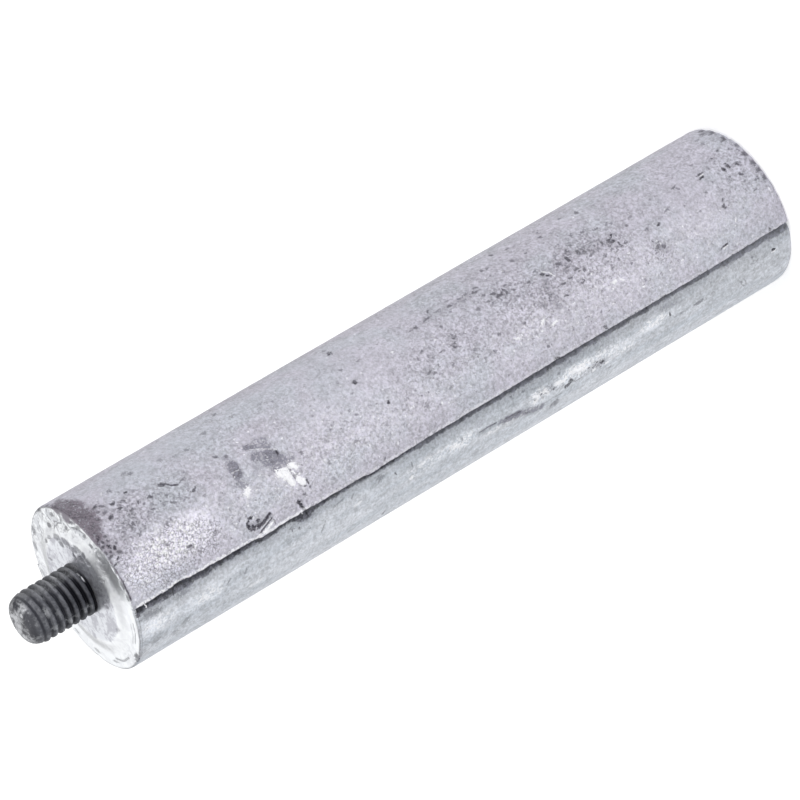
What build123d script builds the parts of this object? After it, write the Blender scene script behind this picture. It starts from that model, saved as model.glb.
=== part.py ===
"""Cast sacrificial anode on a steel core with a threaded fixing stud.

Frame: +Z along the stud, away from the cast body. The origin is on the stud's
axis, in the plane of the low boss that seats against the flange. The body runs
down from there to its flat foot, and the parting plane of the mould is the
plane Y = BODY_SHIFT_Y.
"""

import os

from build123d import *

# ---------------------------------------------------------------- dimensions
# cast body, mm
BODY_RADIUS = 13.0        # each mould half
BODY_LENGTH = 120.7       # rim to foot
MOULD_STEP = 0.40         # how far one mould half stands past the other
BODY_SHIFT_X = 0.10       # the casting's axis, measured from the stud's axis
BODY_SHIFT_Y = -0.20
RIM_CHAMFER = 0.35        # broken corner round the stud end
FOOT_RADIUS = 0.60        # as-cast corner round the foot
BOSS_HEIGHT = 0.50        # low boss round the stud, above the rim
BOSS_RADIUS = 8.30        # flat top of the boss, the seating face
BOSS_FOOT = 10.40         # where its slope meets the end of the body

# steel core, mm
THREAD_RADIUS = 4.0       # M8, modelled at its crest; the thread is rolled
THREAD_OUT = 10.5         # stud beyond the seating face
THREAD_RUNOUT = 1.5       # inside the metal the thread dies away over this
LEAD_START = 8.7          # the crests run out from here to the rounded tip
LEAD_RADIUS = 3.55
LEAD_END = 9.5
TIP_RADIUS = 2.40
SHANK_RADIUS = 3.6        # blank that the thread was rolled on
SHANK_END = 108.5         # the core stops short of the foot, inside the metal
SHANK_CHAMFER = 0.5


def half_casting(shift_x, upper):
    """One mould half: a full turned profile, cut at the parting plane."""
    r, top = BODY_RADIUS, -BOSS_HEIGHT
    foot = top - BODY_LENGTH
    with BuildPart() as part:
        with BuildSketch(Plane.XZ) as profile:
            with BuildLine():
                Polyline(
                    (0, top),
                    (r - RIM_CHAMFER, top),
                    (r, top - RIM_CHAMFER),
                    (r, foot + FOOT_RADIUS),
                )
                RadiusArc(
                    (r, foot + FOOT_RADIUS), (r - FOOT_RADIUS, foot), FOOT_RADIUS
                )
                Polyline((r - FOOT_RADIUS, foot), (0, foot), (0, top))
            make_face()
        revolve(axis=Axis.Z)
    whole = Pos(shift_x, BODY_SHIFT_Y, 0) * part.part
    reach = 4 * BODY_RADIUS
    side = reach / 2 if upper else -reach / 2
    middle = (top + foot) / 2
    keep = Pos(0, BODY_SHIFT_Y + side, middle) * Box(reach, reach, BODY_LENGTH + 20)
    return whole & keep


# ---------------------------------------------------------------- steel core
# One rod: the threaded stud and the plain shank that the metal is cast round.
with BuildPart() as core_builder:
    with BuildSketch(Plane.XZ):
        with BuildLine():
            Polyline((0, THREAD_OUT), (TIP_RADIUS, THREAD_OUT))
            ThreePointArc(
                (TIP_RADIUS, THREAD_OUT),
                ((TIP_RADIUS + LEAD_RADIUS) / 2 + 0.22, (THREAD_OUT + LEAD_END) / 2 + 0.20),
                (LEAD_RADIUS, LEAD_END),
            )
            Polyline(
                (LEAD_RADIUS, LEAD_END),
                (THREAD_RADIUS, LEAD_START),
                (THREAD_RADIUS, 0),
                (SHANK_RADIUS, -THREAD_RUNOUT),
                (SHANK_RADIUS, -SHANK_END + SHANK_CHAMFER),
                (SHANK_RADIUS - SHANK_CHAMFER, -SHANK_END),
                (0, -SHANK_END),
                (0, THREAD_OUT),
            )
        make_face()
    revolve(axis=Axis.Z)
steel_core = core_builder.part.solids()[0]

# ---------------------------------------------------------------- cast body
# The two mould halves met slightly out of line, so each stands past the other
# on its own side: a ledge runs along the parting line at +X and another at -X.
upper = half_casting(BODY_SHIFT_X + MOULD_STEP / 2, True)
lower = half_casting(BODY_SHIFT_X - MOULD_STEP / 2, False)
casting = upper + lower

# Low boss with a sloping edge, round the stud. It starts a little inside the
# body so that the two join over their whole area.
with BuildPart() as boss_builder:
    with BuildSketch(Plane.XZ):
        with BuildLine():
            Polyline(
                (0, 0),
                (BOSS_RADIUS, 0),
                (BOSS_FOOT, -BOSS_HEIGHT),
                (BOSS_FOOT, -2 * BOSS_HEIGHT),
                (0, -2 * BOSS_HEIGHT),
                (0, 0),
            )
        make_face()
    revolve(axis=Axis.Z)
boss = Pos(BODY_SHIFT_X, BODY_SHIFT_Y, 0) * boss_builder.part
casting = casting + boss
casting = casting - steel_core
anode_body = casting.solids()[0]

# ---------------------------------------------------------------- output
PARTS = {
    "anode_body": anode_body,
    "steel_core": steel_core,
}

os.makedirs("parts", exist_ok=True)
for name, shape in PARTS.items():
    shape.label = name
    export_step(shape, f"parts/{name}.step")
    print(name, "solids", len(shape.solids()), "volume", round(shape.volume, 1))
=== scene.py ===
import math

import bpy
import numpy as np
from mathutils import Matrix, Vector


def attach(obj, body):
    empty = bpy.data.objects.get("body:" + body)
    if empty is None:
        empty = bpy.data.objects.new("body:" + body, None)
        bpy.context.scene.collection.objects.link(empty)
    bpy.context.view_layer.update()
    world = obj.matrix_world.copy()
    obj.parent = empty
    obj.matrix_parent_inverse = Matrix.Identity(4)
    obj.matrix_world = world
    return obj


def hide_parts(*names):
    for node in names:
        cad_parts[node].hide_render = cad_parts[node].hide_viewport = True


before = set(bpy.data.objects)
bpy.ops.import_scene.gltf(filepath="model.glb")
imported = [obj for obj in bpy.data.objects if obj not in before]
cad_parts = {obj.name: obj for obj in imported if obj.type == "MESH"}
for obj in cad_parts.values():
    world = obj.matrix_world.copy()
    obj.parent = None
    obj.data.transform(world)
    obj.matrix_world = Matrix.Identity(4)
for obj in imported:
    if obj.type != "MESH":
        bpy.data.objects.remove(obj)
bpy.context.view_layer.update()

scene = bpy.context.scene

# ---------------------------------------------------------------- camera
# Millimetres are used for the shapes below; 1 mm = 0.001 in Blender.
CAM_POS = (0.517964817848953, 0.2895462083825307, 0.22737412390615552)
CAM_AXES = (
    (0.5725956252554483, -0.2289110170370291, 0.7872318567089338),
    (-0.2614352807530421, 0.8591151616974185, 0.43996901358981677),
    (-0.777036578235478, -0.45773451390592274, 0.43208016717202885),
)
cam_data = bpy.data.cameras.new("camera")
cam_data.sensor_fit = "HORIZONTAL"
cam_data.sensor_width = 36.0
cam_data.lens = 205.6753
cam_data.clip_start = 0.01
cam_data.clip_end = 20.0
cam = bpy.data.objects.new("camera", cam_data)
scene.collection.objects.link(cam)
cam.matrix_world = Matrix.Translation(CAM_POS) @ Matrix(CAM_AXES).to_4x4()
scene.camera = cam
scene.view_settings.view_transform = "Standard"
scene.view_settings.look = "None"

# ---------------------------------------------------------------- sizes, mm
# Heights below are counted from the rim of the stud end. The frame's origin is
# in the plane of the boss, BOSS_H above the rim; make_mesh moves them there.
AX, AY = 0.10, -0.20      # body axis, seen from the stud's axis
R = 13.0                  # radius of each mould half
OFF = 0.20                # each half sits this far off the body axis, along X
LENGTH = 120.7
RIM = 0.35
FOOT = 0.60
BOSS_H = 0.50             # low boss round the stud
BOSS_R = 8.30
BOSS_FOOT = 10.40
BORE_R = 3.6
BORE_END = 108.0
THREAD_R = 4.0
PITCH = 1.25
STUD_TOP = 11.0
HALF_TURN = math.pi * R   # arc length of half the girth


# ---------------------------------------------------------------- seeded noise
def _hash(ix, iy, iz, seed):
    h = (ix.astype(np.uint32) * np.uint32(0x8DA6B343)) ^ (iy.astype(np.uint32) * np.uint32(0xD8163841)) ^ (iz.astype(np.uint32) * np.uint32(0xCB1AB31F))
    h ^= np.uint32((seed * 0x9E3779B1) & 0xFFFFFFFF)
    h ^= h >> np.uint32(15)
    h *= np.uint32(0x2C1B3C6D)
    h ^= h >> np.uint32(12)
    h *= np.uint32(0x297A2D39)
    h ^= h >> np.uint32(15)
    return h


def noise3(p, seed):
    """Gradient noise, about -1 to 1, of points given in cells."""
    base = np.floor(p)
    f = p - base
    i = base.astype(np.int64)
    u = f * f * f * (f * (f * 6 - 15) + 10)
    out = np.zeros(len(p))
    for dx in (0, 1):
        for dy in (0, 1):
            for dz in (0, 1):
                h = _hash(i[:, 0] + dx, i[:, 1] + dy, i[:, 2] + dz, seed)
                g = np.stack([(h & np.uint32(1023)), (h >> np.uint32(10)) & np.uint32(1023), (h >> np.uint32(20)) & np.uint32(1023)], 1) / 511.5 - 1.0
                d = f - np.array([dx, dy, dz])
                wgt = (u[:, 0] if dx else 1 - u[:, 0]) * (u[:, 1] if dy else 1 - u[:, 1]) * (u[:, 2] if dz else 1 - u[:, 2])
                out += wgt * (g * d).sum(1)
    return out * 1.6


def fbm(p, size, seed, octaves=3, gain=0.5, stretch=(1, 1, 1)):
    """Layered noise; size is the largest feature in mm."""
    q = p / (np.array(stretch) * size)
    total, amp, norm = np.zeros(len(p)), 1.0, 0.0
    for k in range(octaves):
        total += amp * noise3(q * 2.03 ** k + 17.3 * k, seed + 31 * k)
        norm += amp
        amp *= gain
    return total / norm


def smooth(lo, hi, x):
    t = np.clip((x - lo) / (hi - lo), 0, 1)
    return t * t * (3 - 2 * t)


def line(x, *pairs):
    """Piecewise-linear curve through (x, y) pairs, softened a little at its corners by the caller's noise."""
    xs, ys = zip(*pairs)
    return np.interp(x, xs, ys)


def wobble(x, size, seed):
    """One-dimensional noise of x."""
    x = np.asarray(x, float)
    return noise3(np.stack([x.ravel() / size, np.full(x.size, 0.37), np.full(x.size, 0.71)], 1), seed).reshape(x.shape)


def ellipse(a, b, ca, cb, ra, rb, turn=0.0):
    """Distance from (ca, cb) in radii of an ellipse turned by `turn` degrees: 1 on its edge."""
    t = math.radians(turn)
    x, y = a - ca, b - cb
    u = (x * math.cos(t) + y * math.sin(t)) / ra
    v = (-x * math.sin(t) + y * math.cos(t)) / rb
    return np.sqrt(u * u + v * v)


def stroke(a, b, pts):
    """Distance, mm, from a polyline through pts."""
    best = np.full(a.shape, 1e9)
    for (x0, y0), (x1, y1) in zip(pts[:-1], pts[1:]):
        dx, dy = x1 - x0, y1 - y0
        t = np.clip(((a - x0) * dx + (b - y0) * dy) / (dx * dx + dy * dy), 0, 1)
        best = np.minimum(best, np.hypot(a - x0 - t * dx, b - y0 - t * dy))
    return best


VIEW = math.radians(29.2)


def settle(w):
    """Marks on the side are listed by the arc at which they show on a plain cylinder. Each half stands OFF away from it, so they move a little along the girth."""
    phi = w / R
    return w + (OFF if w > 0 else -OFF) * math.cos(phi) * math.tan(VIEW - phi)


def raised(x, y):
    """Marks on the end are listed where they show on the rim's plane. On the boss they sit higher, so they move towards the eye."""
    dx, dy = BOSS_H / math.tan(math.radians(25.9)) * math.cos(VIEW), BOSS_H / math.tan(math.radians(25.9)) * math.sin(VIEW)
    if math.hypot(x + dx, y + dy) < BOSS_R + 0.1:
        return x + dx, y + dy
    if math.hypot(x + dx / 2, y + dy / 2) < BOSS_FOOT:
        return x + dx / 2, y + dy / 2
    return x, y


# ---------------------------------------------------------------- the mould line at +X
def lip_edge(s):
    """Where the proud half ends, mm of arc from the mould line."""
    e = line(s, (0, 0.37), (6.3, 0.35), (6.9, 0.60), (8.2, 0.54), (9.6, 0.32), (12, 0.26), (15, 0.23), (20, 0.20), (21, 0.12), (22, -0.09), (24, -0.09), (25, 0.06), (28, 0.06), (30, 0.08), (33, 0.02), (40, 0.00),
             (41, -0.25), (42.4, -0.27), (43.2, -0.16), (44.5, -0.06), (49.3, -0.04), (49.7, 0.05), (60, 0.07), (66, 0.09), (67, 0.11), (70, 0.12), (75.2, 0.22), (76.3, 0.18),
             (80, 0.16), (95, 0.13), (105, 0.10), (107, 0.14), (113, 0.20), (117.0, 0.30), (121, 0.30))
    return e + 0.11 + 0.060 * wobble(s, 1.3, 5) + (0.050 + 0.055 * (1 - smooth(9.0, 24.0, s))) * wobble(s, 0.55, 6)


def band_width(s):
    """How far the painted shade, with some dirt, in the corner reaches below that edge."""
    return line(s, (0, 0.76), (6, 0.76), (7, 0.92), (8.8, 0.92), (10.2, 0.72), (15, 0.68), (20, 0.66), (22, 0.66), (24, 0.62), (25, 0.48), (27.8, 0.48), (28.6, .85), (29.6, 1.25), (30.4, 1.15), (31.3, .80), (32.2, .60), (33, 0.56), (40, 0.54), (41, 0.40), (44, 0.40), (45, 0.48), (49, 0.50), (49.8, 0.78),
                (66, 0.82), (70, 0.92), (75, 0.92), (80, 0.86), (105, 0.80), (107, 0.92), (113, 1.00), (121, 1.10)) + 0.17 + 0.08 * wobble(s, 1.7, 9)


def back_edge(s):
    return 0.10 * wobble(s, 9.0, 11) + 0.07 * wobble(s, 1.4, 12) + 0.05 * wobble(s, 0.6, 13)


# ---------------------------------------------------------------- marks on the skin
# Each: s (mm from the stud end), w (mm of arc from the mould line, + on the
# proud half), half-length, half-width, turn in degrees, depth in mm, darkness.
SPOTS = [
    # stud end, proud half
    (3.6, 16.4, .42, .28, 20, .06, .9), (4.4, 15.9, .45, .22, -50, .05, .8), (3.9, 14.6, .35, .30, 0, .06, .8), (4.2, 13.5, .42, .30, 35, .07, .9), (3.4, 15.3, .30, .25, 0, .04, .7),
    (5.8, 15.3, .40, .30, 25, .06, 1.), (6.1, 14.0, .38, .26, 10, .06, 1.), (7.0, 17.8, .26, .45, 10, .05, .6), (7.3, 14.8, .35, .24, -30, .05, .7), (8.8, 13.3, .33, .26, 40, .07, .8),
    (10.7, 13.2, .36, .28, 20, .07, .9), (10.9, 19.5, .55, .40, 0, .04, .35), (11.3, 18.7, .35, .40, 0, .05, .55), (13.2, 13.9, .48, .32, -15, .07, 1.), (16.4, 10.7, .42, .20, 30, .06, 1.),
    (6.1, 11.0, .22, .32, 0, .05, .7), (6.0, 9.1, .30, .22, 30, .05, .6), (5.6, 10.0, .20, .22, 0, .04, .6), (8.5, 6.0, .32, .20, -30, .05, .7), (12.3, 7.2, .22, .20, 0, .04, .5), (10.3, 8.7, .25, .20, 0, .04, .5),
    (1.2, 9.9, .26, .36, 25, .08, 1.), (1.8, 9.3, .22, .40, -30, .07, 1.), (2.0, 8.5, .34, .22, -20, .07, .9), (0.6, 8.5, .40, .20, 20, .09, .9), (0.4, 10.2, .36, .20, 0, .08, .9), (0.9, 10.8, .20, .30, 30, .07, .9), (0.7, 11.6, .42, .22, 20, .08, .9), (1.6, 11.4, .22, .22, 0, .06, .8), (1.3, 7.8, .28, .16, 30, .06, .9), (0.5, 7.2, .30, .18, 0, .06, .8), (1.5, 10.7, .18, .2, 0, .05, .7), (2.4, 9.8, .16, .2, 0, .05, .7), (0.9, 9.1, .2, .2, 0, .05, .7), (0.3, 9.3, .2, .3, 0, .06, .8),
    (1.6, 22.9, .40, .40, 0, .05, .6), (9.4, 15.4, .25, .2, 0, .04, .5), (17.9, 17.2, .3, .2, 0, .03, .35), (19.9, 17.1, .35, .28, 0, .04, .5), (23.7, 18.3, .42, .3, 20, .04, .5), (15.9, 17.9, .3, .4, 0, .04, .4),
    (27.6, 21.3, .35, .45, 0, .05, .6), (28.8, 18.4, .4, .3, 0, .04, .4), (22.1, 13.4, .35, .22, -40, .05, .7), (23.4, 12.6, .28, .28, 0, .05, .7), (33.1, 17.7, .4, .25, 10, .03, .3), (32.9, 7.5, .22, .25, 0, .05, .6), (35.9, 4.3, .25, .2, 0, .04, .5),
    # on the mould line's edge
    (0.55, -0.55, .36, .42, 0, .05, .95), (4.2, 0.30, .50, .16, 0, .05, 1.), (1.2, 0.15, .5, .14, 0, .05, .9), (41.8, -0.42, .5, .12, 0, .04, .9), (43.3, -0.30, .4, .12, 0, .04, .9), (44.1, 0.65, .14, .30, -20, .04, .6),
    (75.7, 0.40, .55, .22, -12, .06, .95), (76.6, 0.05, .35, .16, 0, .05, .8), (85.15, 0.55, .26, .30, 0, .06, .85), (117.0, 0.62, .22, .30, 0, .06, .9), (92.6, -0.1, .6, .20, 0, .04, .7), (3.9, 0.1, .9, .24, 0, .05, .9), (1.0, 0.0, .6, .3, 0, .05, .9), (7.6, 0.42, .9, .26, 0, .06, .9), (18.0, 0.0, .5, .18, 0, .04, .8),
    # the torn place by the mould line, and round the lifted flakes
    (20.65, 2.4, .26, .62, 8, .12, 1.15), (21.35, 3.3, .42, .19, 8, .10, 1.1), (21.25, 1.9, .26, .50, 0, .10, 1.1), (22.3, 2.4, .34, .26, 0, .10, 1.05), (20.95, 3.0, .2, .2, 0, .06, .8), (24.6, 1.2, .14, .26, 0, .06, .8),
    (31.6, 3.6, .17, .38, 0, .08, .9), (31.7, 2.8, .18, .18, 0, .08, .7), (31.0, 3.25, .2, .16, 0, .08, .9), (30.45, 2.25, .25, .22, 0, .08, .8), (29.2, 1.6, .24, .32, 0, .12, 1.1), (29.85, 9.3, .18, .34, 0, .06, 1.), (30.6, 5.4, .3, .16, 0, .04, .5), (30.3, 5.0, .12, .3, 0, .04, .5),
    # middle
    (46.1, 12.5, .30, .34, 0, .12, 1.), (47.2, 19.7, .36, .45, -25, .09, .9), (47.4, 21.3, .3, .3, 0, .05, .5), (57.4, 11.4, .30, .18, 15, .06, .8), (56.1, 10.7, .18, .24, -20, .05, .7), (59.4, 15.3, .30, .30, 0, .07, .9), (58.4, 15.2, .26, .16, 0, .05, .6),
    (61.9, 9.5, .26, .22, 0, .09, .9), (62.3, 10.0, .22, .20, 30, .07, .8), (61.6, 9.9, .18, .16, 0, .05, .7), (63.0, 10.8, .30, .18, 20, .07, .6), (62.8, 11.2, .18, .2, 0, .05, .5), (56.2, 8.1, .34, .18, 10, .07, .8), (57.0, 7.7, .28, .20, 0, .06, .8), (64.5, 7.6, .55, .24, -5, .04, .5), (58.1, 4.8, .40, .24, 20, .05, .6), (53.6, 4.3, .45, .35, 0, .04, .4),
    (44.6, 11.2, .22, .16, 0, .05, .5), (45.9, 15.4, .22, .26, 0, .04, .5), (48.9, 15.3, .3, .2, 0, .04, .45), (62.8, 16.8, .34, .12, 50, .06, 1.), (57.7, 16.8, .3, .3, 0, .04, .4), (40.9, 5.0, .35, .18, 0, .04, .5),
    (61.9, 15.7, .42, .22, 10, .06, .8), (61.2, 15.5, .20, .14, 0, .05, .8), (63.9, 16.0, .30, .20, 0, .05, .6), (65.9, 15.6, .45, .22, 0, .06, .8), (67.8, 15.9, .30, .20, 0, .05, .7), (69.2, 16.0, .40, .18, 5, .05, .7), (70.4, 15.5, .50, .22, -10, .07, .9), (71.1, 16.1, .35, .20, 0, .06, .8),
    (66.3, 16.7, .5, .16, 0, .04, .5), (74.4, 18.6, .35, .30, 0, .07, .8), (75.2, 18.4, .26, .26, 0, .06, .7), (78.1, 21.0, .20, .55, 8, .09, 1.), (78.8, 17.1, .30, .28, 0, .06, .7), (76.4, 16.1, .26, .22, 0, .05, .7), (78.2, 19.3, .2, .2, 0, .03, .4),
    (80.45, 12.25, .40, .20, -40, .12, 1.2), (81.0, 11.7, .34, .18, -40, .11, 1.2), (80.5, 20.2, .35, .25, 0, .05, .6), (61.4, 2.4, .20, .22, 0, .06, .6), (67.3, 2.0, .30, .18, 0, .06, .6), (75.0, 2.75, .24, .24, 0, .07, .8), (71.4, 6.8, .24, .18, -20, .06, .7),
    (69.0, 7.8, .28, .18, 0, .05, .7), (62.4, 13.2, .26, .18, 0, .05, .7), (68.8, 12.6, .40, .16, 0, .05, .6), (65.9, 4.8, .3, .2, 0, .04, .4), (67.1, 6.0, .35, .2, 0, .05, .5), (59.8, 9.9, .34, .12, 5, .05, .8), (58.4, 9.8, .30, .10, 0, .05, .6), (57.1, 9.7, .14, .24, 0, .05, .6),
    (72.3, 13.6, .40, .26, -20, .08, 1.), (73.1, 12.9, .42, .30, 10, .08, 1.), (73.9, 13.3, .34, .26, 0, .08, 1.), (74.1, 12.6, .36, .18, 30, .07, .9), (72.6, 12.8, .26, .30, 0, .07, .9), (74.7, 13.8, .34, .18, 20, .06, .8), (70.9, 14.2, .36, .18, -20, .06, .8), (70.8, 13.0, .34, .16, 10, .05, .7), (71.2, 12.2, .25, .2, 0, .05, .6),
    (75.3, 12.5, .32, .18, -20, .06, .8), (77.9, 12.3, .30, .18, 0, .06, .8), (76.1, 13.2, .26, .18, 0, .05, .7), (77.0, 10.4, .30, .16, 0, .05, .6), (79.9, 13.3, .26, .18, 0, .05, .7), (77.1, 14.0, .2, .2, 0, .04, .5), (77.8, 8.0, .32, .24, 0, .05, .6), (79.3, 8.8, .26, .26, 0, .05, .6),
    # foot end
    (85.3, 12.4, .30, .62, 12, .10, 1.1), (86.1, 13.5, .30, .26, 0, .07, .8), (83.5, 12.5, .46, .26, 0, .07, .9), (87.3, 12.5, .30, .32, 0, .07, .9), (85.4, 10.3, .28, .18, 0, .07, .9), (92.5, 11.6, .34, .36, 20, .09, 1.), (93.6, 10.2, .20, .40, 10, .08, 1.), (94.5, 10.0, .28, .22, 0, .07, .9),
    (88.7, 15.7, .28, .26, 0, .06, .7), (92.9, 19.4, .36, .44, -20, .09, .8), (86.0, 19.8, .30, .36, 0, .05, .6), (85.9, 20.8, .22, .35, 0, .04, .5), (90.4, 20.3, .32, .28, 0, .05, .6), (84.4, 11.2, .36, .14, -10, .06, .8), (84.3, 13.9, .3, .2, 0, .05, .6), (90.3, 15.0, .45, .2, 0, .05, .6),
    (88.7, 11.0, .35, .2, 20, .06, .8), (86.3, 9.7, .4, .2, 30, .06, .8), (83.6, 9.6, .36, .18, 0, .06, .8), (91.4, 11.8, .2, .3, 0, .06, .8), (90.5, 9.8, .3, .2, 10, .06, .7), (82.1, 9.4, .5, .2, -10, .06, .8), (92.3, 14.3, .34, .3, 0, .05, .6), (94.2, 14.2, .26, .3, 0, .05, .6), (96.4, 12.2, .2, .2, 0, .04, .5), (85.1, 8.2, .4, .2, 15, .06, .8), (90.3, 8.0, .2, .35, 0, .05, .6),
    (98.2, 8.2, .22, .20, 0, .06, .8), (98.7, 10.1, .34, .20, 20, .06, .7), (98.6, 7.0, .34, .34, 0, .07, .8), (99.3, 6.7, .30, .30, 0, .06, .8), (97.8, 6.4, .24, .20, 0, .06, .7), (97.9, 13.1, .3, .2, 0, .04, .5), (100.7, 9.9, .40, .20, 0, .10, 1.1), (106.8, 13.7, .40, .20, 20, .06, .8), (107.3, 13.1, .38, .14, -30, .05, .7),
    (103.2, 11.1, .62, .14, 20, .06, .6), (102.4, 14.0, .26, .16, 20, .04, .5), (103.7, 14.0, .3, .16, -20, .04, .5), (111.5, 12.8, .56, .19, 10, .12, 1.2), (111.7, 13.45, .52, .18, 14, .11, 1.1), (112.2, 13.5, .26, .14, 0, .08, .9), (111.9, 8.15, .30, .16, 40, .08, .9), (111.5, 7.3, .28, .36, -15, .10, 1.), (110.4, 10.4, .22, .12, 0, .05, .7),
    (111.9, 15.6, .34, .22, 0, .05, .6), (108.7, 2.15, .74, .15, 8, .10, 1.2), (115.3, 12.1, .22, .38, 10, .10, 1.1), (116.3, 12.3, .26, .56, 20, .12, 1.2), (117.7, 11.9, .28, .36, 20, .10, 1.1), (117.1, 10.1, .38, .22, -30, .10, 1.), (115.2, 14.8, .34, .16, -20, .07, .9), (118.7, 14.7, .28, .22, 0, .07, .8), (117.1, 15.6, .35, .22, 0, .06, .8), (118.5, 8.3, .35, .2, 0, .07, .8), (117.4, 7.0, .40, .12, 10, .06, .7),
    (118.7, 20.8, .44, .50, 0, .07, .7), (117.0, 19.9, .34, .34, 0, .05, .5), (116.8, 18.4, .26, .38, 0, .05, .6), (119.3, 19.6, .4, .35, 0, .06, .6), (112.2, 18.3, .3, .16, 0, .03, .4), (116.1, 7.8, .2, .2, 0, .04, .5), (119.2, 16.7, .3, .2, 0, .07, .8), (116.8, 8.9, .2, .16, 0, .05, .7),
    # below the mould line
    (2.5, -1.6, 1.5, .50, 0, .05, .40), (8.0, -1.3, .95, .42, 0, .05, .40), (2.75, -6.9, .75, .38, 0, .04, .36), (6.0, -7.5, .5, .5, 0, .04, .36), (8.0, -6.5, .5, .5, 0, .04, .36), (14.6, -8.0, .3, .5, 0, .04, .28),
    (15.5, -3.8, .45, .16, 42, .04, .5), (18.5, -3.75, .60, .16, 62, .04, .5), (27.0, -1.7, .09, .85, 0, .04, .6), (28.2, -2.0, .17, .17, 0, .05, .7), (30.0, -3.0, .17, .17, 0, .05, .6), (32.2, -4.0, .95, .13, 60, .03, .4), (35.2, -1.7, 1.0, .16, 12, .03, .4), (37.5, -2.1, .5, .15, 40, .03, .4),
    (42.7, -1.7, .6, .55, 0, .04, .42), (45.4, -2.5, .19, .26, 5, .06, .8), (48.3, -2.6, .12, .5, 10, .04, .5), (60.0, -8.0, .5, .5, 0, .03, .3), (43.5, -9.7, .18, .46, -20, .05, .6),
    (77.0, -5.1, .52, .34, 0, .10, .95), (77.6, -4.5, .32, .44, -10, .10, .95), (74.4, -4.1, .20, .20, 0, .07, .8), (71.0, -4.2, .25, .20, 0, .07, .8), (74.6, -7.3, .75, .42, 30, .08, .60), (74.9, -7.75, .50, .34, 0, .07, .55), (57.4, -3.4, .18, .34, 0, .05, .5), (75.7, -2.0, .30, .20, 0, .05, .5),
    (83.6, -4.5, .42, .30, 0, .09, .95), (81.0, -4.2, .17, .16, 0, .06, .8), (81.8, -4.5, .16, .16, 0, .06, .8), (82.6, -4.0, .17, .15, 0, .06, .8), (83.3, -5.3, .20, .13, 0, .05, .7), (85.2, -6.6, .25, .18, 0, .04, .4), (66.8, -1.2, .26, .18, 0, .05, .5), (69.0, -1.5, .22, .18, 0, .05, .5),
    (96.8, -3.4, .15, .40, 8, .08, .95), (99.0, -4.25, 1.4, .22, 0, .03, .30), (102.25, -4.2, 1.0, .27, 0, .06, .62), (105.0, -4.15, .48, .32, 0, .03, .28), (117.2, -2.7, .32, .20, -25, .14, 1.25), (113.0, -1.9, .19, .17, 0, .05, .6),
    # the far corner
    (119.6, 22.0, .5, .5, 0, .10, .9), (119.8, 19.8, .35, .6, 10, .08, .8), (119.7, 17.1, .4, .45, 0, .10, .9), (120.1, 14.6, .35, .35, 0, .08, .8), (119.9, 12.6, .45, .45, 0, .10, .9), (120.0, 10.8, .4, .5, 0, .10, .9), (119.9, 9.4, .35, .35, 0, .08, .8), (120.0, 7.9, .35, .45, 0, .08, .8),
]
STROKES = [
    # points, half-width, depth, darkness
    ([(13.5, 13.9), (14.2, 13.0), (15.0, 12.65)], .14, .05, .9), ([(15.2, 12.7), (16.0, 13.0), (16.6, 13.1)], .10, .04, .5),
    ([(21.9, 1.5), (23.0, 1.75), (23.8, 2.15), (24.4, 2.4)], .23, .10, 1.15), ([(21.9, 0.6), (22.6, 0.95), (23.5, 1.35), (24.5, 1.75)], .13, .05, .95), ([(20.9, 1.7), (21.9, 1.9), (22.9, 1.8)], .17, .08, 1.0), ([(24.5, 1.2), (24.7, 0.6)], .12, .05, .8), ([(20.5, 2.0), (20.7, 2.9), (21.3, 3.35)], .14, .06, .9), ([(21.0, -0.2), (22.0, -0.5), (23.0, -0.7), (24.0, -0.5)], .09, .04, .6),
    ([(29.1, 1.8), (29.3, 1.1)], .24, .12, 1.15), ([(29.3, 1.1), (29.6, 0.2), (30.0, -0.5)], .16, .12, 1.12), ([(30.0, 7.2), (30.15, 6.4), (29.95, 5.6), (30.2, 4.8)], .07, .06, .62),
    ([(60.4, -3.95), (61.2, -4.05), (62.0, -3.95), (63.6, -4.05)], .09, .03, .7), ([(65.4, -4.35), (66.4, -4.5), (67.2, -4.45), (68.2, -4.75)], .14, .04, .50), ([(68.6, -5.2), (69.3, -5.7), (70.0, -6.1)], .12, .03, .45),
    ([(72.0, -5.9), (74.0, -5.85), (76.0, -5.95)], .06, .02, .45), ([(78.4, -5.2), (80.0, -5.15)], .07, .03, .6), ([(110.6, -5.0), (110.8, -5.9), (111.3, -6.4)], .11, .04, .4), ([(111.2, -5.0), (111.6, -5.6), (111.7, -6.3)], .10, .04, .4), ([(112.6, -2.9), (113.5, -3.2), (114.2, -2.7)], .10, .04, .4), ([(84.8, 0.9), (85.2, 0.5)], .20, .07, .7),
    ([(27.2, -1.6), (28.0, -1.75)], .05, .02, .3),
]
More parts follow.
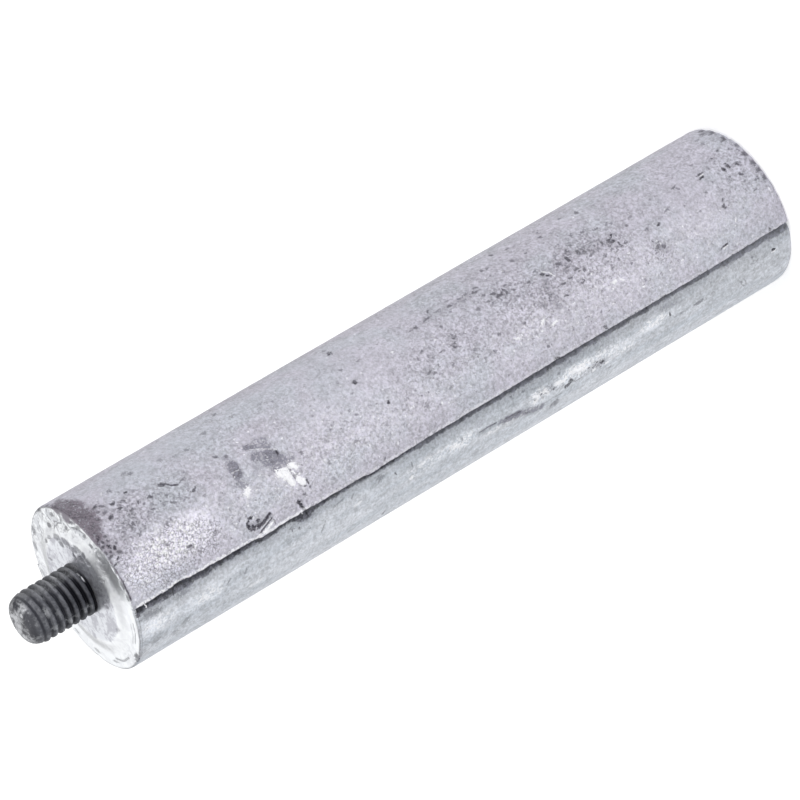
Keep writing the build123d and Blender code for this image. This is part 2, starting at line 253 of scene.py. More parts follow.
# Rubbed or torn bright metal: points, half-width, height, brightness.
FLAKES = [
    ([(28.3, 6.65), (29.35, 6.4)], .58, .05, 1.15), ([(28.85, 6.0), (29.4, 5.6)], .56, .05, 1.15), ([(29.25, 5.0), (29.5, 4.5)], .38, .05, 1.1), ([(30.5, 6.75), (31.0, 6.4)], .46, .05, 1.1), ([(30.55, 4.6), (30.95, 4.0)], .46, .05, 1.1), ([(30.25, 6.0), (30.5, 5.5)], .22, .03, .9), ([(30.9, 5.5), (31.2, 5.2)], .14, .03, .7),
    ([(22.65, 6.45), (23.05, 6.85)], .44, .04, 1.05), ([(22.6, 0.45), (23.5, 0.75), (24.4, 1.15)], .22, .03, .95), ([(21.2, 0.35), (22.0, 0.5)], .13, .02, .85), ([(22.3, 1.1), (24.2, 1.8)], .08, .02, .55), ([(26.8, 11.7), (28.2, 10.95), (30.1, 9.75)], .10, .02, .34),
    ([(22.3, 10.8), (23.4, 10.5)], .06, .0, .20), ([(22.4, 10.1), (23.6, 9.9)], .06, .0, .24), ([(26.9, 9.4), (28.0, 9.2)], .06, .0, .20), ([(27.0, 12.4), (28.4, 11.9)], .06, .0, .20), ([(28.2, 8.9), (29.6, 8.3)], .06, .0, .16),
    ([(77.2, 5.15), (78.0, 5.25)], .20, .03, .9), ([(75.8, 6.1), (76.3, 6.4)], .20, .03, .85), ([(70.6, 6.2), (71.3, 5.9)], .18, .03, .7), ([(89.3, 5.85), (89.6, 5.95)], .26, .03, .95), ([(90.3, 5.8), (90.8, 5.5)], .14, .03, .7), ([(111.9, 4.4), (112.3, 4.95)], .10, .03, 1.1),
    ([(108.3, 1.85), (109.2, 1.95)], .10, .02, .9), ([(111.3, 13.15), (112.2, 13.15)], .11, .02, .9), ([(80.6, 12.7), (81.5, 12.0), (81.8, 11.0)], .09, .02, .7), ([(59.8, 6.8), (60.0, 6.9)], .1, .02, .7), ([(5.7, 17.8), (6.0, 18.2)], .1, .02, .4),
    ([(19.3, -7.4), (21.2, -7.4)], .32, .0, .40), ([(37.8, -3.75), (38.8, -3.75)], .22, .0, .50), ([(47.8, -4.8), (48.0, -4.8)], .28, .02, .7),
    ([(70.5, -3.3), (71.6, -3.8), (70.8, -4.7)], .24, .03, .75), ([(72.8, -3.3), (73.4, -4.4)], .22, .03, .65), ([(74.9, -3.5), (76.3, -3.7)], .34, .03, .66), ([(78.2, -3.1), (79.9, -3.4)], .52, .03, .68), ([(80.4, -3.7), (80.7, -3.7)], .22, .03, .8), ([(81.9, -5.1), (82.2, -5.1)], .22, .03, .7), ([(84.3, -5.2), (84.7, -5.2)], .22, .03, .7),
    
    ([(2.0, 0.45), (2.15, -0.20)], .11, .02, .9), ([(5.1, 0.6), (5.2, 0.1)], .11, .02, .8), ([(14.5, 0.8), (14.8, 0.3)], .09, .02, .6), ([(29.0, 0.4), (29.3, -0.1)], .10, .02, .8), ([(117.6, 0.5), (118.0, 0.3)], .06, .02, .5),
    ([(116.7, -3.0), (117.2, -3.15), (117.7, -2.9)], .10, .03, .8),
]
# Soft dirt, and two thin lines of painted shade along the rim's chamfer: points, half-width, strength.
SMUDGES = [
    ([(-0.2, 12.6), (0.8, 14.6), (1.1, 17.0), (0.9, 19.2), (0.5, 20.8)], 2.15, 1.0), ([(1.0, 13.4), (2.4, 14.2)], 1.0, .70), ([(1.6, 15.4), (2.6, 15.8)], 1.1, .72), ([(1.6, 17.6), (2.4, 18.4)], 1.1, .70), ([(0.6, 20.6), (1.2, 22.0)], 1.2, .7), ([(0.2, 12.2), (0.6, 10.6), (0.7, 9.0)], .75, .50), ([(1.6, 9.4), (2.0, 8.6)], .5, .5),
    # the first two: thin lines of painted shade along the rim's chamfer; then dirt
    ([(0.05, 2.0), (0.05, 5.0), (0.05, 8.0)], .17, .85), ([(0.0, -9.0), (0.0, -1.0)], .12, .55), ([(3.2, 14.8), (4.2, 14.0)], 1.2, .36), ([(3.2, 16.6), (4.0, 16.2)], 1.0, .36), ([(0.6, 11.8), (1.2, 10.6)], 1.0, .5),
    ([(23.1, 10.9), (23.0, 9.6)], 1.02, .92), ([(23.0, 12.4), (23.4, 11.4)], .62, .52), ([(22.6, 8.8), (22.9, 7.9)], .95, .60), ([(21.4, 8.2), (22.2, 8.0)], .45, .50), ([(22.0, 13.4), (22.4, 13.4)], .28, .6), ([(23.4, 12.7), (23.5, 12.8)], .26, .6),
    ([(26.6, 12.3), (28.0, 11.6), (29.4, 10.9)], .62, .80), ([(28.3, 12.2), (29.3, 11.8)], .80, .66), ([(28.0, 13.4), (29.2, 13.2)], 1.0, .34), ([(26.8, 10.2), (27.8, 9.9), (28.8, 9.8)], 1.0, .80), ([(28.6, 10.0), (29.7, 9.3)], .62, .95), ([(27.6, 8.8), (29.0, 8.4), (30.0, 8.2)], .95, .72), ([(28.2, 7.6), (29.8, 7.6), (31.2, 7.9)], .85, .66), ([(24.2, 8.0), (26.4, 8.4)], .9, .40), ([(25.6, 9.2), (26.4, 9.0)], .5, .4), ([(20.8, 2.2), (22.2, 2.0), (24.3, 2.1)], .55, .42),
    ([(79.3, 8.0), (79.5, 7.2)], 1.1, .40), ([(79.9, 11.2), (79.8, 9.0)], .7, .28), ([(98.8, 7.4), (99.3, 6.4)], .95, .42), ([(72.4, 13.1), (74.2, 13.0)], .8, .12), ([(84.0, 12.5), (86.6, 12.6)], 1.0, .22), ([(88.0, 12.0), (92.6, 11.2)], 1.0, .26), ([(60.0, 15.4), (66.0, 15.6), (71.0, 15.5)], .55, .30), ([(116.0, 12.2), (117.6, 11.9)], 1.0, .14), ([(119.6, 22.0), (119.8, 18.5)], .7, .36), ([(119.9, 14.5), (120.1, 8.5)], .55, .32),
    ([(28.6, -0.5), (29.6, -0.9), (30.8, -0.7)], .50, .95), ([(95.2, -1.7), (98.2, -1.7)], .60, .50), ([(70.0, -1.5), (80.0, -1.5)], .7, .22), ([(80.6, -4.6), (84.0, -4.7)], .75, .42), ([(74.4, -7.3), (75.0, -7.5)], .85, .50), ([(60.2, -4.05), (62.2, -4.0), (64.6, -4.3)], .36, .66), ([(64.6, -4.5), (66.2, -4.7), (67.9, -4.9)], .78, .86), ([(67.4, -5.0), (68.6, -5.1), (69.6, -5.6), (70.6, -6.0), (71.9, -6.2)], .86, .72), ([(59.6, -8.0), (60.4, -8.0)], .5, .3), ([(60.4, -2.6), (61.2, -2.6)], .75, .42), ([(110.0, -4.8), (112.0, -4.6)], 1.3, .16), ([(113.0, -2.4), (115.0, -2.6)], .9, .16), ([(76.5, 21.6), (78.6, 21.2)], .9, .25),
]
# Soft lighter and darker areas of the skin, tone and painted light and shade together: a painted highlight near the
# stud end, painted shade along the upper edge of the near side and below the mould line, and patches of tone: s, w,
# half-length, half-width, strength.
TONES = [
    # the first five: a painted highlight near the stud end; then lighter patches
    (12.8, 5.6, 4.6, 3.2, 2.3), (3.4, 5.2, 3.4, 3.4, 1.6), (8.0, 5.0, 6.4, 4.0, 1.6), (9.0, 2.3, 9.5, 1.8, 1.15), (4.0, 4.4, 4.5, 2.6, 1.25), (58.5, 9.6, 4.0, 1.6, .30), (62.0, 9.4, 3.0, 1.6, .35), (74.5, 10.0, 3.0, 1.6, .40), (110.0, 11.5, 4.0, 3.0, .30), (117.5, 12.0, 3.0, 3.0, .45), (73.0, 12.4, 3.0, 1.4, .3), (22.5, 6.0, 1.5, 1.2, .50), (45.0, 10.0, 9.0, 2.8, .28), (36.0, 6.0, 12.0, 3.5, .20), (66.0, 4.0, 14.0, 2.8, .22), (92.0, 4.5, 14.0, 3.2, .22), (70.0, 9.5, 3.0, 1.6, .15), (88.0, 7.2, 6.0, 2.0, .22), (20.0, 22.0, 5.0, 2.5, .15), (28.0, 17.5, 1.6, 1.8, .30), (106.0, 8.0, 6.0, 4.0, .15),
    # the first two: painted shade along the upper edge of the near side; then darker patches
    (60.0, 25.2, 90.0, 4.4, -.72), (40.0, 23.4, 19.0, .9, -.70), (65.5, 15.3, 8.0, 1.0, -.45), (69.5, 15.3, 2.6, 1.0, -.45), (73.2, 12.8, 2.2, 1.3, -.28), (78.3, 21.2, 1.3, 1.3, -.40), (74.8, 18.5, 1.5, 1.1, -.35), (80.5, 12.2, 1.3, 1.3, -.35), (79.8, 9.8, 1.1, 3.2, -.35), (79.5, 7.6, 1.9, 1.4, -.45), (85.3, 12.6, 2.2, 1.5, -.35), (89.5, 12.0, 4.2, 1.4, -.45), (92.7, 11.0, 1.7, 1.3, -.45),
    (86.0, 17.0, 1.3, 3.4, -.28), (99.2, 6.8, 1.6, 1.6, -.55), (98.0, 3.6, 2.2, 1.7, -.22), (111.5, 13.4, 1.3, 1.1, -.40), (116.5, 12.4, 2.2, 1.3, -.20), (111.8, 7.6, 1.4, 1.1, -.35), (106.8, 13.4, 1.2, 1.0, -.30), (119.3, 20.6, 1.5, 1.8, -.35), (46.3, 12.6, 1.2, .9, -.30), (62.3, 10.3, 1.6, 1.2, -.32), (56.0, 8.0, 1.4, 1.0, -.28), (78.0, 3.6, 3.2, .8, -.32), (47.2, 20.2, 1.2, 1.3, -.35), (11.0, 19.3, 1.2, 1.0, -.35), (7.0, 21.8, 2.4, 1.4, -.18), (104.0, 21.0, 3.4, 1.8, -.15), (78.0, 16.5, 14.0, 6.0, -.22), (13.5, 12.6, 5.0, 2.2, -.12), (6.0, 11.6, 3.4, 2.2, -.20), (81.5, 5.0, 3.2, 1.5, -.32), (99.5, 4.9, 3.4, 1.5, -.32), (69.0, 19.5, 8.0, 2.8, -.36), (98.5, 18.5, 4.0, 2.5, -.40), (72.0, 6.6, 4.0, 2.2, -.30), (104.0, 7.4, 4.0, 1.6, -.3), (33.0, 7.6, 7.0, 1.5, -.45),
    # below the mould line: painted highlights where the light falls, painted shade close under the mould line, and
    # darker patches
    (2.8, -3.9, 2.8, 1.5, 1.3), (13.5, -4.1, 3.2, 1.5, .50), (8.0, -3.9, 3.2, 1.3, .80), (55.0, -3.8, 5.5, 1.4, .50), (72.0, -4.0, 2.2, 1.3, .45), (78.8, -3.4, 4.8, 1.4, 1.10), (90.0, -3.2, 6.5, 1.3, .45), (35.0, -6.5, 12.0, 3.0, .15), (7.3, -6.9, 2.4, 1.2, -.50), (3.0, -6.4, 1.8, 1.2, -.35), (0.6, -8.5, 1.2, 2.4, -.40), (109.0, -2.6, 13.0, 1.8, -.38), (100.5, -2.0, 4.0, 1.4, -.35), (110.0, -7.0, 12.0, 5.0, -.25), (4.0, -1.6, 4.0, .8, -.35), (71.0, -6.4, 4.0, .9, -.22), (25.0, -1.6, 12.0, .8, -.20), (64.0, -2.4, 4.0, 1.2, -.30), (86.0, -2.3, 40.0, 1.5, -.70), (110.0, -2.6, 12.0, 1.6, -.85), (63.5, -5.4, 6.0, 1.3, -.50), (93.0, -5.4, 8.0, 1.4, -.35), (114.0, -5.0, 8.0, 2.0, -.50), (17.0, -1.6, 6.0, .8, -.20),
    (50.0, 31.0, 16.0, 4.0, .25), (88.0, 34.0, 12.0, 4.0, -.30), (24.0, -22.0, 12.0, 4.0, .25), (66.0, -28.0, 14.0, 5.0, -.25), (104.0, -18.0, 10.0, 4.0, .2), (16.0, 34.0, 8.0, 4.0, -.25),
]
# Where the grain is coarse (+) or fine (-), and where the skin is finely cracked.
GRAIN = [
    (9.0, 5.5, 8.5, 4.0, .9), (6.0, 11.5, 6.0, 3.5, .7), (13.0, 11.5, 5.0, 2.6, .4), (36.0, 5.0, 14.0, 4.0, .35), (62.0, 9.0, 14.0, 5.0, .35), (76.0, 10.0, 8.0, 5.0, .6), (88.0, 10.0, 8.0, 5.0, .6), (98.0, 6.5, 3.0, 2.0, .6), (116.5, 11.5, 4.0, 4.5, .5), (12.0, 20.0, 16.0, 4.5, -.45), (45.0, 20.0, 20.0, 4.5, -.40), (85.0, 20.5, 22.0, 4.0, -.15), (46.0, 13.5, 13.0, 4.0, -.28), (107.0, 12.5, 6.0, 4.0, -.25), (78.0, -4.0, 7.0, 1.6, .9), (107.0, 6.0, 6.0, 5.0, -.15), (3.0, -4.0, 4.0, 2.0, .1),
]
CRACKED = [
    (9.0, 5.0, 9.0, 4.4, 1.2), (3.0, 5.0, 3.4, 4.4, 1.15), (13.0, 2.6, 5.5, 1.6, .8), (7.0, 1.8, 7.0, 1.2, .9), (14.0, 10.5, 5.0, 2.6, .35), (6.5, 11.3, 4.5, 2.4, .6), (72.5, -4.0, 3.2, 1.4, .7), (78.0, -3.6, 4.0, 1.2, .5), (82.3, -4.5, 2.6, 1.1, .7), (24.0, 4.0, 4.0, 3.0, .25), (36.0, 4.0, 8.0, 2.5, .22), (62.0, 4.0, 12.0, 2.5, .22), (88.0, 7.5, 8.0, 3.0, .28), (76.0, 9.0, 5.0, 4.0, .30), (5.0, -4.2, 5.0, 1.5, .12), (56.0, -4.0, 4.0, 1.3, .35),
]

# Where the small dark specks crowd: s, w, half-length, half-width, strength.
SPECKLE = [
    (5.5, 12.0, 7.0, 5.0, .85), (4.0, 15.0, 2.5, 3.0, .6), (1.2, 9.5, 2.2, 4.0, 1.0), (13.0, 11.0, 6.0, 3.5, .45), (9.0, 6.5, 7.0, 3.5, .45), (12.0, 3.5, 8.0, 2.5, .35), (21.0, 6.0, 3.0, 5.0, .2), (57.0, 9.0, 5.0, 4.0, .15), (50.0, 6.0, 9.0, 2.6, .30), (68.0, 15.0, 6.0, 1.6, .45),
    (74.0, 12.6, 4.5, 3.4, .42), (79.0, 8.5, 6.0, 4.5, .62), (78.0, 4.0, 5.0, 2.2, .45), (86.5, 12.0, 6.0, 4.0, .66), (92.5, 11.5, 3.4, 3.2, .75), (88.0, 8.0, 6.5, 2.4, .45), (98.6, 7.0, 1.6, 1.6, .8), (96.0, 4.5, 5.0, 1.6, .35), (117.5, 11.0, 3.4, 5.0, .30), (119.8, 13.0, 1.2, 9.0, .65), (107.0, 13.6, 3.0, 1.4, .25),
    (64.0, 8.0, 6.0, 5.0, .25), (85.0, 2.5, 8.0, 2.0, .35), (38.0, 8.0, 8.0, 6.0, .12), (84.0, 18.5, 5.0, 2.6, .35), (14.0, -3.8, 8.0, 1.4, .25), (77.0, -4.2, 7.5, 1.2, .55), (27.5, -1.2, 3.0, .8, .4), (73.0, -1.4, 6.0, .8, .35), (113.5, -3.0, 2.5, 1.2, .25), (60.5, -4.0, 5, .6, .3),
    # the side away from the mould line, plainly finished in the same manner
    (20.0, 33.0, 9.0, 4.0, .5), (58.0, 31.0, 12.0, 3.5, .35), (96.0, 34.0, 10.0, 4.0, .55), (36.0, -21.0, 9.0, 3.5, .3), (88.0, -24.0, 11.0, 4.0, .4), (118.0, -20.0, 3.0, 10.0, .5), (2.0, -24.0, 2.5, 9.0, .5), (117.5, 33.0, 3.5, 7.0, .5), (66.0, -33.0, 9.0, 3.0, .4), (28.0, -36.0, 6.0, 2.5, .4),
]
# Where the skin is bluer (+) or more lilac (-).
COOL = [
    (11.0, 20.0, 9.0, 4.5, .9), (9.0, 10.5, 7.0, 3.5, .8), (34.0, 17.5, 6.0, 4.5, .9), (37.0, 3.5, 8.0, 2.5, 1.0), (26.0, 4.5, 4.0, 2.0, .9), (16.0, 7.0, 4.0, 3.0, .3), (108.0, 8.0, 6.0, 6.0, -.9), (100.0, 9.0, 6.0, 4.0, -.4), (86.0, 18.5, 9.0, 5.0, -.8), (67.0, 15.0, 7.0, 3.5, -.5), (45.0, 20.0, 5.0, 3.0, -.6), (20.0, 12.0, 4.0, 3.0, -.4), (103.0, 20.0, 4.0, 2.5, .5), (108.0, 23.0, 6.0, 1.5, .6),
]
# Where the skin is rubbed whitish, with a broad painted highlight on the side towards the light, strongest near the
# stud end: s, w, half-length, half-width, strength.
RUBBED = [
    (9.0, 5.8, 8.0, 3.2, .95), (14.0, 6.0, 3.0, 3.0, .5), (30.0, 5.5, 40.0, 5.0, .22), (92.0, 5.5, 36.0, 5.0, .20), (34.0, 12.0, 30.0, 4.0, .06), (3.0, 4.0, 4.0, 3.0, .5), (22.0, 6.0, 2.0, 1.5, .3), (38.0, 9.0, 6.0, 3.0, .20), (57.0, 4.2, 4.0, 2.0, .22), (74.0, 6.2, 6.0, 1.3, .40), (88.0, 5.8, 6.0, 1.4, .30), (35.0, 4.5, 4.0, 2.0, .18), (109.0, 4.5, 5.0, 2.0, .12),
    (3.6, -4.0, 3.6, 1.7, .55), (12.0, -4.2, 3.5, 1.5, .6), (57.0, -4.0, 4.0, 1.4, .75), (52.0, -4.0, 6.0, 1.4, .45), (64.0, -5.5, 4.0, .7, .5), (71.7, -4.0, 2.2, 1.5, .8), (78.5, -3.4, 4.4, 1.3, 1.), (88.0, -4.7, 2.6, .8, .7), (93.8, -3.1, 3.6, 1.1, .75), (84.0, -3.6, 5.0, 1.6, .55),
    (44.0, 30.0, 12.0, 3.0, .30), (80.0, -18.0, 14.0, 3.0, .30), (14.0, -30.0, 8.0, 3.0, .40), (104.0, 30.0, 8.0, 3.0, .3),
]


def field_of(items, s, w):
    """The strongest of a list of soft blobs."""
    out = np.zeros(s.shape)
    for cs, cw, rs, rw, k in items:
        d = np.hypot((s - cs) / rs, (w - cw) / rw)
        out = np.maximum(out, k * (1 - smooth(0.35, 1.25, d)))
    return out


def sum_of(items, s, w):
    """A list of soft blobs, light and dark ones kept apart and then added."""
    up, down = np.zeros(s.shape), np.zeros(s.shape)
    for cs, cw, rs, rw, k in items:
        d = np.hypot((s - cs) / rs, (w - cw) / rw)
        v = k * (1 - smooth(0.25, 1.35, d))
        if k > 0:
            up = np.maximum(up, v)
        else:
            down = np.minimum(down, v)
    return up + down


def random_spots(rng):
    """More pits of the same kind all round, thicker where SPECKLE says."""
    n = 4600
    s = rng.uniform(1.0, LENGTH - 0.8, n)
    w = rng.uniform(-HALF_TURN, HALF_TURN, n)
    chance = 0.055 + 0.48 * field_of(SPECKLE, s, w) - 0.045 * ((w > -14) & (w < 27))
    keep = rng.uniform(0, 1, n) < chance
    keep &= np.abs(w) > 0.9
    keep &= (w > 0) | (w < -9)
    keep &= (w < -14) | (w > 27) | (field_of(SPECKLE, s, w) > 0.12)
    size = rng.uniform(0.13, 0.27, n) * (1 + 0.4 * (rng.uniform(0, 1, n) > 0.9))
    return [(a, b, r * q, r / q, t, 0.14 * r + 0.01, 0.28 + 0.75 * k * k)
            for a, b, r, q, t, k, ok in zip(s, w, size, rng.uniform(1.0, 1.7, n), rng.uniform(-60, 60, n), rng.uniform(0, 1, n), keep) if ok]


SIDE_SPOTS = [(m[0], settle(m[1])) + m[2:6] + (m[6] * (0.84 if m[0] > 55 and m[1] > 1.5 else 1.0),) for m in SPOTS] + random_spots(np.random.default_rng(4127))
SIDE_STROKES = [([(x, settle(y)) for x, y in pts], half, depth, k) for pts, half, depth, k in STROKES]
SIDE_FLAKES = [([(x, settle(y)) for x, y in pts], half, rise, k) for pts, half, rise, k in FLAKES]
SIDE_SMUDGES = [([(x, settle(y)) for x, y in pts], half, k) for pts, half, k in SMUDGES]


def near_strokes(s, w, pts, margin):
    xs, ys = zip(*pts)
    return np.nonzero((s > min(xs) - margin) & (s < max(xs) + margin) & (w > min(ys) - margin) & (w < max(ys) + margin))[0]


def skin_relief(s, w, p):
    """How far the marks sink or stand out, mm, at points (s, w) whose place in space is p, and the soft dirt and
    painted rim shade there.
    """
    near = fbm(p, 0.9, 71, 2)
    lift = np.zeros(s.shape)
    for cs, cw, rs, rw, turn, depth, k in SIDE_SPOTS:
        reach = 1.8 * max(rs, rw)
        idx = np.nonzero((np.abs(s - cs) < reach) & (np.abs(w - cw) < reach))[0]
        if len(idx):
            d = ellipse(s[idx], w[idx], cs, cw, rs, rw, turn) + 0.25 * near[idx]
            lift[idx] -= depth * (1 - smooth(0.2, 1.5, d)) - 0.15 * depth * np.exp(-((d - 1.6) / 0.3) ** 2)
    for pts, half, depth, k in SIDE_STROKES:
        idx = near_strokes(s, w, pts, 1.0)
        lift[idx] -= depth * (1 - smooth(0.2, 1.9, stroke(s[idx], w[idx], pts) / half))
    for pts, half, rise, k in SIDE_FLAKES:
        idx = near_strokes(s, w, pts, 1.0)
        lift[idx] += rise * (1 - smooth(0.8, 1.25, stroke(s[idx], w[idx], pts) / half))
    smudge = np.zeros(s.shape)
    for pts, half, k in SIDE_SMUDGES:
        idx = near_strokes(s, w, pts, 1.6 * half + 0.3)
        d = stroke(s[idx], w[idx], pts) / half + 0.16 * near[idx] / min(half, 1.0)
        smudge[idx] = np.maximum(smudge[idx], k * (1 - smooth(0.45, 1.40, d)))
    return lift, smudge


# Marks are held in layers. In each, (a, b) is the place within a mark, in its
# own radii, and the third number is its strength, so the material can draw an
# edge finer than the mesh.
class Layers:
    def __init__(self, names, count):
        self.names = names
        self.data = np.zeros((len(names), count, 3))
        self.data[:, :, :2] = 6.0
        self.taken = np.zeros((len(names), count), bool)

    def place(self, idx, a, b, k):
        for n in range(len(self.names)):
            if not self.taken[n, idx].any():
                self.taken[n, idx] = True
                self.data[n, idx] = np.stack([a, b, k], 1)
                return True
        return False


def spot_cells(x, y, mark, gap, ring):
    cx, cy, ra, rb, turn, _, k = mark
    t = math.radians(turn)
    reach = 1.35 * max(ra, rb) + gap + ring
    idx = np.nonzero((np.abs(x - cx) < reach) & (np.abs(y - cy) < reach))[0]
    dx, dy = x[idx] - cx, y[idx] - cy
    u, v = dx * math.cos(t) + dy * math.sin(t), -dx * math.sin(t) + dy * math.cos(t)
    keep = np.hypot(u / (1.35 * ra + gap + ring), v / (1.35 * rb + gap + ring)) < 1
    full = np.hypot(u / (1.35 * ra + gap), v / (1.35 * rb + gap)) < 1
    return idx[keep], (u / ra)[keep], (v / rb)[keep], (k * full)[keep]


def stroke_cells(x, y, pts, half, k, gap, ring):
    idx = near_strokes(x, y, pts, 1.4 * half + gap + ring)
    px, py = x[idx], y[idx]
    best = np.full(px.shape, 1e9)
    a, b = np.zeros(px.shape), np.zeros(px.shape)
    for (x0, y0), (x1, y1) in zip(pts[:-1], pts[1:]):
        dx, dy = x1 - x0, y1 - y0
        length = math.hypot(dx, dy)
        along = ((px - x0) * dx + (py - y0) * dy) / length
        held = np.clip(along, 0, length)
        across = ((px - x0) * dy - (py - y0) * dx) / length
        dist = np.hypot(across, along - held)
        near = dist < best
        best = np.where(near, dist, best)
        a, b = np.where(near, across, a), np.where(near, along - held, b)
    keep = best < 1.4 * half + gap + ring
    full = best < 1.4 * half + gap
    return idx[keep], (a / half)[keep], (b / half)[keep], (k * full)[keep]


# ---------------------------------------------------------------- the cast body
def arc(lo, hi, step):
    n = max(2, int(round((hi - lo) / step)))
    return np.linspace(lo, hi, n + 1)[1:-1]


# Columns are counted as arc from the edge of the mould line at +X, once round.
SEAM_U = np.array([-1.35, -1.05, -.80, -.60, -.46, -.35, -.26, -.18, -.11, -.05, .0, .05, .12, .21, .33, .48, .68, .95])
BACK_V = np.array([-1.35, -.90, -.58, -.36, -.22, -.12, -.05, .0, .05, .12, .20, .32, .50, .80, 1.35])
U = np.concatenate([
    SEAM_U, arc(SEAM_U[-1], 27.0, 0.275), [27.0], arc(27.0, HALF_TURN - 1.35, 0.76), HALF_TURN + BACK_V,
    arc(HALF_TURN + 1.35, 2 * HALF_TURN - 14.0, 0.76), [2 * HALF_TURN - 14.0], arc(2 * HALF_TURN - 14.0, 2 * HALF_TURN - 1.35, 0.285),
])
NC = len(U)

rows = np.concatenate([
    np.linspace(0.0, 3.0, 12)[:-1], np.linspace(3.0, 20.0, 52)[:-1], np.linspace(20.0, 32.0, 45)[:-1], np.linspace(32.0, 110.0, 230)[:-1], np.linspace(110.0, LENGTH, 38),
])
rows = rows[(rows > RIM + 0.05) & (rows < LENGTH - FOOT - 0.05)]


def wrap(w):
    return (w + HALF_TURN) % (2 * HALF_TURN) - HALF_TURN


def radius_at(u, sgn_w):
    """Plain radius of the two offset halves with the corner between them. u is arc from the +X edge, wrapped."""
    phi = sgn_w / R
    up = np.sqrt(R * R - (OFF * np.sin(phi)) ** 2) + OFF * np.cos(phi)
    lo = np.sqrt(R * R - (OFF * np.sin(phi)) ** 2) - OFF * np.cos(phi)
    front = np.abs(u) < HALF_TURN / 2
    t_front = smooth(-0.10, 0.02, u)                       # 1 on the proud (upper) half
    v = np.where(u > 0, u - HALF_TURN, u + HALF_TURN)      # arc from the back edge: < 0 is the upper half
    t_back = 1 - smooth(-0.02, 0.10, v)                    # the lower half is proud there
    t = np.where(front, t_front, t_back)
    r = up * t + lo * (1 - t)
    # corner, a little hollow, and the burr along the proud edge
    r = r - np.where(front, 0.13 * np.exp(-((u + 0.26) / 0.22) ** 2) + 0.07 * np.exp(-(np.minimum(u, 0) / 1.1) ** 2) * (u < 0), 0)
    r = r + np.where(front, 0.035 * np.exp(-((u - 0.10) / 0.11) ** 2), 0)
    r = r - np.where(~front, 0.10 * np.exp(-((v + 0.24) / 0.22) ** 2) + 0.06 * np.exp(-(np.minimum(v, 0) / 1.0) ** 2) * (v < 0), 0)
    r = r + np.where(~front, 0.03 * np.exp(-((v - 0.10) / 0.11) ** 2), 0)
    return r, t


SCALARS = ("m_half", "m_dark", "m_light", "m_smudge", "m_speck", "m_rubbed", "m_tone", "m_grain", "m_crack", "m_cool", "m_seam", "m_band", "m_groove", "m_edge")
verts = []
masks = {k: [] for k in SCALARS}
where = {k: [] for k in ("s", "w", "x", "y")}              # nan where a list of marks doesn't apply


def put_row(x, y, z, sw=None, xy=None, **m):
    verts.append(np.stack([x, y, z], 1))
    for k in masks:
        base = {"m_seam": 4.0, "m_band": 0.8}.get(k, 0.0)
        masks[k].append(np.broadcast_to(np.asarray(m.get(k, base), float), (NC,)).copy())
    for (ka, kb), pair in ((("s", "w"), sw), (("x", "y"), xy)):
        for k, v in zip((ka, kb), pair if pair else (np.nan, np.nan)):
            where[k].append(np.broadcast_to(np.asarray(v, float), (NC,)).copy())


# --- side rows; the first four are the rim's, which take marks but keep their own shape
RIM_AT = ((0.30, 0.0), (0.55, -0.015), (0.78, -0.07), (0.93, -0.17))
rim_s = np.array([-z - 0.75 * (1 - f) for f, z in RIM_AT])
all_s = np.concatenate([rim_s, rows])
held = np.maximum(all_s, 0.0)
S = np.repeat(all_s[:, None], NC, 1)
Uw = wrap(np.repeat(U[None, :], len(all_s), 0))
Vb = np.where(Uw > 0, Uw - HALF_TURN, Uw + HALF_TURN)
W = Uw + lip_edge(held)[:, None] * np.exp(-(Uw / 1.6) ** 2) + back_edge(held)[:, None] * np.exp(-(Vb / 1.6) ** 2)
PHI = W / R
Rr, T = radius_at(Uw, W)
P0 = np.stack([AX + R * np.cos(PHI), AY + R * np.sin(PHI), -S], -1).reshape(-1, 3)
sf, wf = S.ravel(), wrap(W.ravel())
lift, smudge = skin_relief(sf, wf, P0)
speck, rubbed = field_of(SPECKLE, sf, wf), field_of(RUBBED, sf, wf)
tone_f, grain_f, crack_f, cool_f = sum_of(TONES, sf, wf), sum_of(GRAIN, sf, wf), field_of(CRACKED, sf, wf), sum_of(COOL, sf, wf)
half = T.ravel()
dark = np.zeros(sf.shape)
# the proud half is leathery, the other smoother with faint drawn lines along it
wavy = 0.030 * fbm(P0, 22.0, 101, 2) + 0.016 * fbm(P0, 6.5, 103, 2)
leather = 0.020 * fbm(P0, 1.9, 107, 3, 0.6) * (0.60 + 0.55 * half + 0.8 * rubbed)
drawn = 0.006 * fbm(P0, 1.1, 109, 2, 0.5, (1, 1, 9)) * (1 - half)
blister = 0.020 * np.clip(fbm(P0, 1.05, 113, 1) - 0.25, 0, 1) * (0.3 + rubbed + 0.4 * half)
# rim and foot chips
chip_front = np.clip(fbm(P0, 1.5, 121, 2) - 0.10, 0, 1) * np.exp(-((sf - RIM) / 0.5)) * (sf > RIM)
chip_back = np.clip(fbm(P0, 1.3, 127, 2) - 0.02, 0, 1) * np.exp(-((LENGTH - FOOT - sf) / 0.5))
for c, hw, d in [(22.0, .55, .16), (20.0, .4, .12), (18.5, .4, .12), (17.0, .45, .16), (13.0, .4, .14), (12.4, .3, .12), (11.0, .5, .16), (10.3, .3, .12), (9.5, .4, .16), (8.5, .4, .14), (7.5, .4, .12)]:
    lift -= d * np.exp(-((wf - c) / hw) ** 2) * (1 - smooth(0.5, 1.5, LENGTH - sf))
disp = lift + wavy + leather + drawn + blister - 0.020 * smudge - 0.22 * chip_front - 0.22 * chip_back
disp *= 1 - 0.5 * np.exp(-(wrap(Uw).ravel() / 0.7) ** 2)
rad = Rr.ravel() + disp

